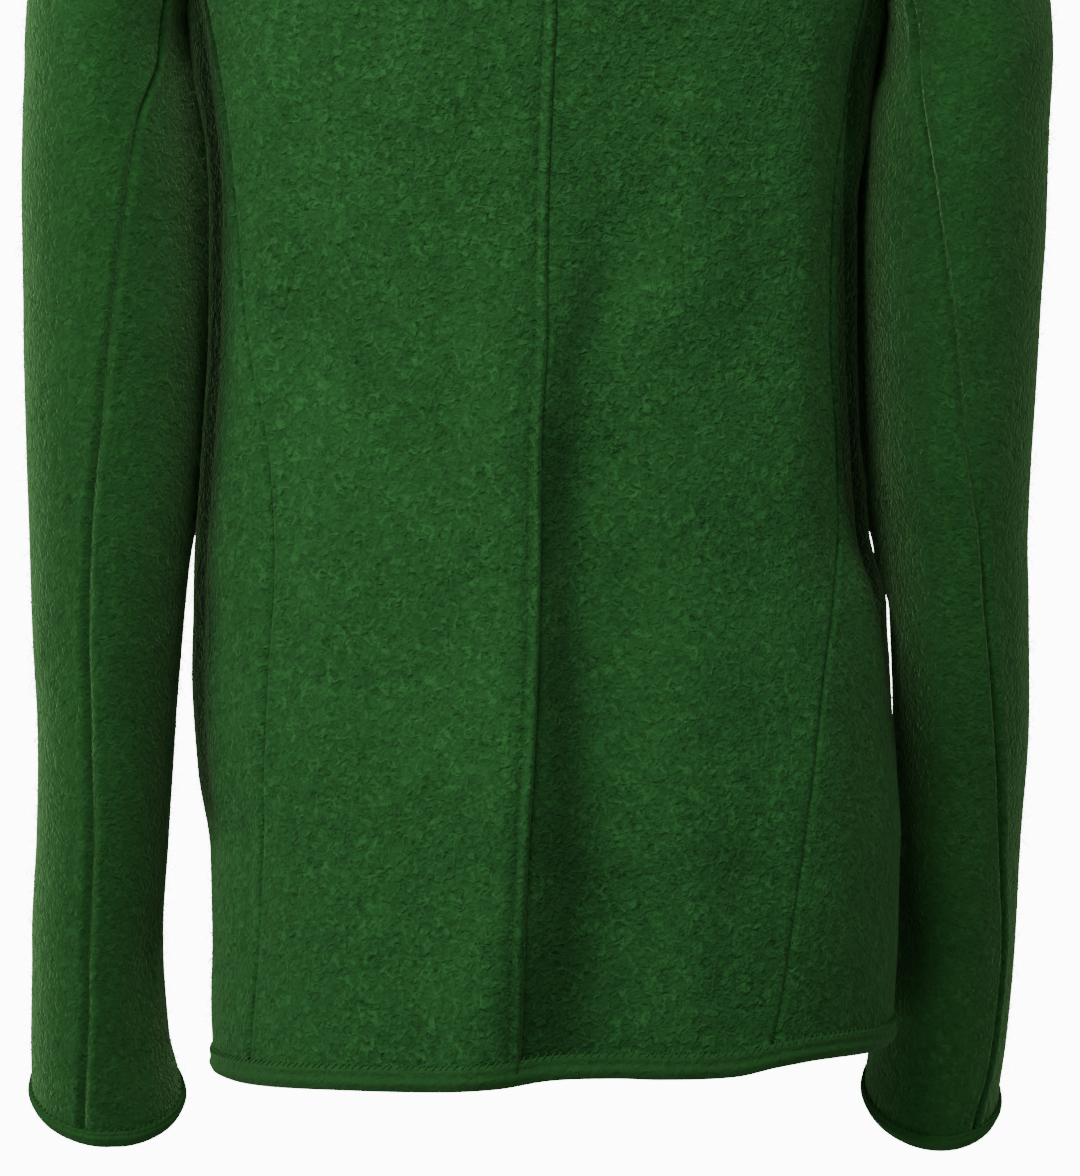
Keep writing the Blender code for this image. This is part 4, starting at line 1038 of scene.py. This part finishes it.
def add_threads(name, paths, radius, sides, material):
    """Many short round threads in one piece, each through its own few points."""
    count, steps = paths.shape[:2]
    ways = unit(np.gradient(paths, axis=1))
    aside = unit(np.cross(ways, np.array(NO_THREAD_WAY)))
    beside = np.cross(ways, aside)
    turns = np.linspace(0, TURN, sides, endpoint=False)
    radii = np.broadcast_to(radius, (count, steps))[..., None, None]
    rings = (aside[:, :, None] * np.cos(turns)[None, None, :, None]
             + beside[:, :, None] * np.sin(turns)[None, None, :, None]) * radii
    points = paths[:, :, None] + rings
    base = (np.arange(count) * steps * sides)[:, None, None]
    ring = (np.arange(steps - 1) * sides)[None, :, None]
    here, after = np.arange(sides)[None, None], (np.arange(sides)[None, None] + 1) % sides
    quads = np.stack([base + ring + here, base + ring + after,
                      base + ring + sides + after, base + ring + sides + here], -1).reshape(-1, 4)
    first = base[:, 0] + np.arange(sides)[None, ::-1]
    last = base[:, 0] + (steps - 1) * sides + np.arange(sides)[None]
    faces = quads.tolist() + first.tolist() + last.tolist()
    return add_piece(name, points, faces, material, creased=False)


# ------------------------------------------------------------------ nap

NAP_COUNT = 12000        # fibres standing off one group of panels
NAP_LONG = 0.0070        # the longest fibre
NAP_RADIUS = 0.00008
NAP_ROOT = 0.0003        # how deep a fibre starts inside the cloth


def outer_spots(pieces, count, chance):
    """Random spots on the outer faces of the named cloths, with the ways out of the cloth."""
    corners, ways = [], []
    for name in pieces:
        mesh = bpy.data.objects[name].data
        places = np.empty(len(mesh.vertices) * 3)
        mesh.vertices.foreach_get("co", places)
        normals = np.empty(len(mesh.vertices) * 3)
        mesh.vertices.foreach_get("normal", normals)
        faces = np.array([face.vertices[:] for face in mesh.polygons if len(face.vertices) == 4])
        faces = faces[(faces < len(mesh.vertices) // 2).all(1)]
        corners.append(places.reshape(-1, 3)[faces])
        ways.append(normals.reshape(-1, 3)[faces])
    corners, ways = np.concatenate(corners), np.concatenate(ways)
    across, along = corners[:, 2] - corners[:, 0], corners[:, 3] - corners[:, 1]
    areas = np.linalg.norm(np.cross(across, along), axis=1)
    chosen = chance.choice(len(areas), count, p=areas / areas.sum())
    share_1, share_2 = chance.random((2, count, 1))
    spots = []
    for table in (corners[chosen], ways[chosen]):
        lower = blend(table[:, 0], table[:, 1], share_1)
        upper = blend(table[:, 3], table[:, 2], share_1)
        spots.append(blend(lower, upper, share_2))
    return spots[0], unit(spots[1])


def make_nap(name, pieces, seed):
    """Loose fibres that lie over the cloth and stand off its outline."""
    chance = np.random.default_rng(seed)
    spots, ways = outer_spots(pieces, NAP_COUNT, chance)
    long = NAP_LONG * chance.uniform(0.3, 1.0, (NAP_COUNT, 1)) ** 1.5
    drift = chance.normal(0, 1, (2, NAP_COUNT, 3))
    drift -= (drift * ways).sum(-1, keepdims=True) * ways
    rise = chance.uniform(0.15, 1.10, (NAP_COUNT, 1))
    start = spots - ways * NAP_ROOT
    middle = start + 0.5 * long * unit(unit(drift[0]) + rise * ways)
    end = middle + 0.5 * long * unit(unit(drift[0] + 0.7 * drift[1]) + (rise - 0.35) * ways)
    piece = add_threads(name, np.stack([start, middle, end], 1), NAP_RADIUS, 3, thread)


# ------------------------------------------------------------------ collar

COLLAR_CORNER = math.radians(14)     # the collar's end is measured within this turn of the neck
COLLAR_CORNER_POINT = 9
COLLAR_ROWS = 14
COLLAR_CROWD = 1.3


def collar_foot():
    """Angles and heights of the neck seam, all round from the left front to the right one."""
    angles, heights = [], []
    for side, front in ((1, True), (1, False), (-1, False), (-1, True)):
        line_heights, line_angles = neck_line(side, front)
        if front:
            share = COLLAR_END / (NECK_HALF * math.sin(COLLAR_CORNER))
            line_angles[0] = blend(line_angles[0], line_angles[COLLAR_CORNER_POINT], share)
        if side > 0 and front:
            line_angles = line_angles - TURN
        outwards = (side > 0) == front
        quarter = slice(None) if outwards else slice(None, None, -1)
        angles.append(line_angles[quarter])
        heights.append(line_heights[quarter])
    angles, heights = np.concatenate(angles), np.concatenate(heights)
    lengths = lengths_along(body_point(angles, heights)[None], 1)[0]
    places = columns_across([lengths[-1]], int(lengths[-1] / CLOTH_STEP))[0]
    return np.interp(places, lengths, angles), np.interp(places, lengths, heights)


def make_collar():
    """A plain low stand collar that rises from the neck seam and leans in a little."""
    angles, heights = collar_foot()
    foot, normals = body_point(angles, heights), body_normal(angles, heights)
    along = unit(np.gradient(foot, axis=0))
    up_cloth = unit(np.cross(normals, along))
    inward = unit(-foot * np.array([1.0, 1.0, 0.0]))
    end = foot + np.array([0.0, 0.0, COLLAR_HEIGHT]) + inward * COLLAR_LEAN
    leave = up_cloth * COLLAR_TURN
    land = (np.array([0.0, 0.0, 1.0]) + inward * COLLAR_TOP_LEAN) * COLLAR_HEIGHT
    share = np.concatenate([np.linspace(0, 1, COLLAR_ROWS)[:-1] ** COLLAR_CROWD,
                            1 - np.array(COLLAR_TOP_ROWS)])
    grid = hermite(foot[None], end[None], leave[None], land[None], share[:, None, None])
    ways = unit(np.cross(np.gradient(grid, axis=1), np.gradient(grid, axis=0)))
    ways[0] = normals
    from_start, from_foot = lengths_along(grid, 1), lengths_along(grid, 0)
    from_edge = np.minimum(from_start, from_start[:, -1:] - from_start)
    drawn = rounded_in(np.minimum(from_edge, from_foot[-1:] - from_foot))
    raised = sewn_in(from_foot, PLAIN_SEAM, grid[..., 0], 9)
    outer = grid + ways * (raised - drawn)[..., None]
    inner = grid + ways * (INSIDE * raised - WALL + drawn)[..., None]
    piece = add_cloth("collar_stand", outer, inner, wool)
    declare_panel("collar", outer)


# ------------------------------------------------------------------ finishes

def add_node(tree, kind, **values):
    node = tree.nodes.new(kind)
    for name, value in values.items():
        if name in node.inputs:
            node.inputs[name].default_value = value
        else:
            setattr(node, name, value)
    return node


def noise(tree, source, size, detail=1.0, distortion=0.0):
    """A cloudy pattern whose lumps repeat about that many metres apart."""
    node = add_node(tree, "ShaderNodeTexNoise", Scale=1.3 / size, Detail=detail,
                    Roughness=0.5, Distortion=distortion)
    tree.links.new(source, node.inputs["Vector"])
    return node.outputs["Fac"]


def ramp(tree, source, low, high, start, end):
    """Reads low to high as start to end."""
    node = add_node(tree, "ShaderNodeMapRange")
    for name, value in (("From Min", low), ("From Max", high), ("To Min", start), ("To Max", end)):
        node.inputs[name].default_value = value
    tree.links.new(source, node.inputs["Value"])
    return node.outputs["Result"]


def maths(tree, operation, first, second):
    node = add_node(tree, "ShaderNodeMath", operation=operation)
    for index, value in enumerate((first, second)):
        if isinstance(value, (int, float)):
            node.inputs[index].default_value = value
        else:
            tree.links.new(value, node.inputs[index])
    return node.outputs[0]


def add_up(tree, parts):
    """Sum of values, each times its own strength."""
    total = None
    for value, strength in parts:
        part = maths(tree, "MULTIPLY", value, strength)
        total = part if total is None else maths(tree, "ADD", total, part)
    return total


def mix(tree, share, first, second):
    node = add_node(tree, "ShaderNodeMix", data_type="RGBA")
    tree.links.new(share, node.inputs["Factor"])
    for place, value in (("A", first), ("B", second)):
        socket = [s for s in node.inputs if s.name == place and s.type == "RGBA"][0]
        if isinstance(value, tuple):
            socket.default_value = value
        else:
            tree.links.new(value, socket)
    return [s for s in node.outputs if s.type == "RGBA"][0]


def new_finish(name):
    """A material, its tree and its shader."""
    material = bpy.data.materials.new(name)
    material.use_nodes = True
    return material, material.node_tree, material.node_tree.nodes["Principled BSDF"]


# near-black green that the painted shade darkens the wool towards
SHADE_COLOUR = (0.0012, 0.0050, 0.0014, 1.0)
CLOUD = 0.060            # from one to the next, in the wool's pattern
PATCH = 0.0110
CURL = 0.0046
KNOT = 0.0034
HAIR = 0.0010
RELIEF = 0.0010          # depth of the wool's grain
SHEEN_TINT = (0.38, 0.80, 0.30, 1.0)


def felted_wool(name, dark, light, strength=1.0, sheen=0.14):
    """Thick felted wool: small dark pits, pale curls of fibre and a dull nap."""
    material, tree, shader = new_finish(name)
    place = add_node(tree, "ShaderNodeTexCoord").outputs["Object"]
    clouds = noise(tree, place, CLOUD, 2.0)
    curl = noise(tree, place, CURL, 1.6, 1.2)
    knots = noise(tree, place, KNOT, 1.0, 0.8)
    fine = noise(tree, place, HAIR, 1.0)
    patches = ramp(tree, noise(tree, place, PATCH, 1.0), 0.35, 0.62, 0.25, 1.0)
    pale = maths(tree, "MULTIPLY", ramp(tree, curl, 0.54, 0.68, 0.0, 1.0), patches)
    pits = maths(tree, "MULTIPLY", ramp(tree, knots, 0.30, 0.44, 1.0, 0.0), patches)
    colour = add_up(tree, ((ramp(tree, curl, 0.28, 0.72, 0.0, 1.0), 0.36 * strength),
                           (pale, 0.34 * strength), (pits, -0.24 * strength),
                           (ramp(tree, fine, 0.3, 0.7, 0.0, 1.0), 0.07),
                           (ramp(tree, clouds, 0.3, 0.7, 0.0, 1.0), 0.16)))
    colour = maths(tree, "ADD", colour, 0.42 - 0.21 * strength)
    # painted shade: the shade attribute mixes the wool's colour towards SHADE_COLOUR
    shade = add_node(tree, "ShaderNodeAttribute", attribute_name="shade").outputs["Fac"]
    tree.links.new(mix(tree, shade, mix(tree, colour, dark, light), SHADE_COLOUR),
                   shader.inputs["Base Color"])
    relief = add_up(tree, ((curl, 1.2 * strength), (knots, 0.6 * strength),
                           (pits, -0.25 * strength), (fine, 0.08)))
    bump = add_node(tree, "ShaderNodeBump", Strength=1.0, Distance=RELIEF)
    tree.links.new(relief, bump.inputs["Height"])
    tree.links.new(bump.outputs["Normal"], shader.inputs["Normal"])
    shader.inputs["Roughness"].default_value = 0.96
    shader.inputs["Specular IOR Level"].default_value = 0.10
    shader.inputs["Sheen Weight"].default_value = sheen
    shader.inputs["Sheen Roughness"].default_value = 0.45
    shader.inputs["Sheen Tint"].default_value = SHEEN_TINT
    return material


def button_metal_finish():
    material, tree, shader = new_finish("darkened_button_metal")
    place = add_node(tree, "ShaderNodeTexCoord").outputs["Object"]
    tarnish = noise(tree, place, 0.004, 3.0)
    colour = mix(tree, ramp(tree, tarnish, 0.35, 0.65, 0.0, 1.0),
                 (0.16, 0.155, 0.145, 1.0), (0.42, 0.41, 0.38, 1.0))
    tree.links.new(colour, shader.inputs["Base Color"])
    tree.links.new(ramp(tree, tarnish, 0.3, 0.7, 0.55, 0.34), shader.inputs["Roughness"])
    shader.inputs["Metallic"].default_value = 1.0
    return material


wool = felted_wool("felted_wool_body", (0.0062, 0.0345, 0.0076, 1.0),
                   (0.0268, 0.1330, 0.0315, 1.0))
# The sleeves' wool is the body's wool with its colours painted darker, standing in for the shade on
# the sleeves; its sheen is stronger.
sleeve_wool = felted_wool("felted_wool_sleeves", (0.0060, 0.0320, 0.0071, 1.0),
                          (0.0208, 0.1110, 0.0242, 1.0), 0.8, 0.42)
binding = felted_wool("wool_braid", (0.0110, 0.0500, 0.0115, 1.0),
                      (0.0240, 0.1080, 0.0250, 1.0), 0.5)
thread = felted_wool("sewing_thread", (0.0160, 0.0680, 0.0160, 1.0),
                     (0.0300, 0.1250, 0.0300, 1.0), 0.2)
button_metal = button_metal_finish()


# ------------------------------------------------------------------ buttons

DISC_RADIUS = 0.0102
DISC_THICK = 0.0016
DISC_HEIGHT = 0.0038     # its middle above the cloth
SHANK_INSET = 0.0066     # from the disc's edge to the shank
SHANK_LONG = 0.0024
ROUNDED = 0.00028

# Steps over the button's face, from its rim to its boss: how far in from the last, and how far up.
FaceStep = namedtuple("FaceStep", "inset lift")
BUTTON_FACE = named(FaceStep, [
    (0.0014, 0.0008),
    (0.0009, -0.0011),
    (0.0030, 0.0001),
    (0.0010, 0.0007),
    (0.0020, 0.0003),
])


def choose_faces(piece, test):
    """Selects the faces whose middle and normal pass a test, in edit mode."""
    bpy.ops.mesh.select_mode(type="FACE")
    bpy.ops.mesh.select_all(action="DESELECT")
    bpy.ops.object.mode_set(mode="OBJECT")
    for face in piece.data.polygons:
        face.select = bool(test(face.center, face.normal))
    bpy.ops.object.mode_set(mode="EDIT")


def model_button():
    """A cast button: a shallow dish with a rolled rim and a low boss, on a shank."""
    bpy.ops.mesh.primitive_cylinder_add(vertices=48, radius=DISC_RADIUS, depth=DISC_THICK,
                                        location=(0, 0, DISC_HEIGHT))
    disc = bpy.context.active_object
    select_only(disc)
    bpy.ops.object.transform_apply(location=True, rotation=True, scale=True)
    bpy.ops.object.mode_set(mode="EDIT")
    choose_faces(disc, lambda centre, normal: normal.z > 0.9)
    for step in BUTTON_FACE:
        bpy.ops.mesh.inset(thickness=step.inset)
        bpy.ops.transform.translate(value=(0, 0, step.lift))
    choose_faces(disc, lambda centre, normal: normal.z < -0.9)
    bpy.ops.mesh.inset(thickness=SHANK_INSET)
    bpy.ops.mesh.extrude_region_move(TRANSFORM_OT_translate={"value": (0, 0, -SHANK_LONG)})
    bpy.ops.object.mode_set(mode="OBJECT")
    bevel = disc.modifiers.new("softened", "BEVEL")
    bevel.width = ROUNDED
    bevel.segments = 2
    bevel.limit_method = "ANGLE"
    bevel.angle_limit = math.radians(25)
    bpy.ops.object.modifier_apply(modifier="softened")
    bpy.ops.object.shade_smooth_by_angle(angle=math.radians(50))
    return disc


def make_buttons():
    """The same button at even steps down the front."""
    pattern = model_button()
    for index in range(BUTTON_COUNT):
        height = blend(BUTTON_TOP, BUTTON_BOTTOM, index / (BUTTON_COUNT - 1))
        angle = angle_at(0.0, height, True)
        point, normal = Vector(body_point(angle, height)), Vector(body_normal(angle, height))
        turned = normal.to_track_quat("Z", "X").to_matrix().to_4x4()
        mesh = pattern.data.copy()
        mesh.transform(Matrix.Translation(point) @ turned)
        mesh.materials.clear()
        mesh.materials.append(button_metal)
        button = bpy.data.objects.new(f"metal_button_{index + 1}", mesh)
        bpy.context.scene.collection.objects.link(button)
        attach(button, "root")
        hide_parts(f"button_{index + 1}")
    bpy.data.objects.remove(pattern, do_unlink=True)


# ------------------------------------------------------------------ floor, light and camera

FLOOR_HEIGHT = -1.45     # well below the cuffs, as the jacket hangs from the shoulders
FLOOR_RADIUS = 5.0
BACKDROP = 12.0          # how bright the studio looks, and how strongly it lights the jacket
FILL = 0.10
WHITE = (1.0, 1.0, 1.0, 1.0)

Light = namedtuple("Light", "name place aim size power")
LIGHTS = named(Light, [
    ("left", (3.0, 0.6, 0.2), (0.0, 0.0, -0.42), 1.6, 38.0),
    ("near", (0.5, 1.3, 0.8), (0.0, 0.0, -0.36), 0.8, 29.0),
    ("right", (-0.7, 1.1, 0.8), (0.0, 0.0, -0.36), 0.8, 9.0),
])


def make_floor():
    bpy.ops.mesh.primitive_circle_add(vertices=96, radius=FLOOR_RADIUS, fill_type="NGON",
                                      location=(0, 0, FLOOR_HEIGHT))
    floor = bpy.context.active_object
    floor.name = "studio_floor"
    material, _, shader = new_finish("pale_floor")
    shader.inputs["Base Color"].default_value = (0.86, 0.86, 0.85, 1.0)
    shader.inputs["Roughness"].default_value = 0.9
    floor.data.materials.append(material)


def add_light(name, place, aim, size, power):
    data = bpy.data.lights.new(name, "AREA")
    data.size = size
    data.energy = power
    light = bpy.data.objects.new(name, data)
    light.location = place
    light.rotation_mode = "QUATERNION"
    light.rotation_quaternion = (Vector(aim) - Vector(place)).to_track_quat("-Z", "Y")
    bpy.context.scene.collection.objects.link(light)


def make_studio():
    make_floor()
    for light in LIGHTS:
        add_light(*light)
    world = bpy.data.worlds.new("studio")
    bpy.context.scene.world = world
    world.use_nodes = True
    tree = world.node_tree
    seen, lit = tree.nodes["Background"], add_node(tree, "ShaderNodeBackground")
    for background, strength in ((seen, BACKDROP), (lit, FILL)):
        background.inputs["Color"].default_value = WHITE
        background.inputs["Strength"].default_value = strength
    path, both = add_node(tree, "ShaderNodeLightPath"), add_node(tree, "ShaderNodeMixShader")
    tree.links.new(path.outputs["Is Camera Ray"], both.inputs[0])
    tree.links.new(lit.outputs[0], both.inputs[1])
    tree.links.new(seen.outputs[0], both.inputs[2])
    tree.links.new(both.outputs[0], tree.nodes["World Output"].inputs["Surface"])


PHOTO_SCALE = 0.00043    # metres across one of the photograph's 1080 by 1176 points
PHOTO_HEIGHT = 1176
PHOTO_MIDDLE = -4        # points from the origin to the photograph's middle
PHOTO_MIDDLE_HEIGHT = -0.4605
CAMERA_AWAY = 3.2
CAMERA_RISE = 0.113      # it looks down a little
SENSOR = 36


def make_camera():
    aim = Vector((PHOTO_MIDDLE * PHOTO_SCALE, 0.0, PHOTO_MIDDLE_HEIGHT))
    place = Vector((aim.x, CAMERA_AWAY, aim.z + CAMERA_RISE))
    data = bpy.data.cameras.new("camera")
    data.sensor_width = SENSOR
    data.lens = SENSOR * (aim - place).length / (PHOTO_HEIGHT * PHOTO_SCALE)
    camera = bpy.data.objects.new("camera", data)
    camera.location = place
    camera.rotation_mode = "QUATERNION"
    camera.rotation_quaternion = (aim - place).to_track_quat("-Z", "Y")
    bpy.context.scene.collection.objects.link(camera)
    bpy.context.scene.camera = camera


make_camera()
for side in SIGN.values():
    make_back(side)
    make_side(side)
    make_front(side)
    make_sleeve(side)
    make_cuff(side)
make_hem()
make_collar()
make_nap("body_fibres", [part + "_panel_" + side for part in ("back", "side", "front")
                         for side in SIGN], 11)
make_nap("sleeve_fibres", [part + "_sleeve_cloth_" + side for part in ("top", "under")
                           for side in SIGN], 12)
make_buttons()
make_studio()
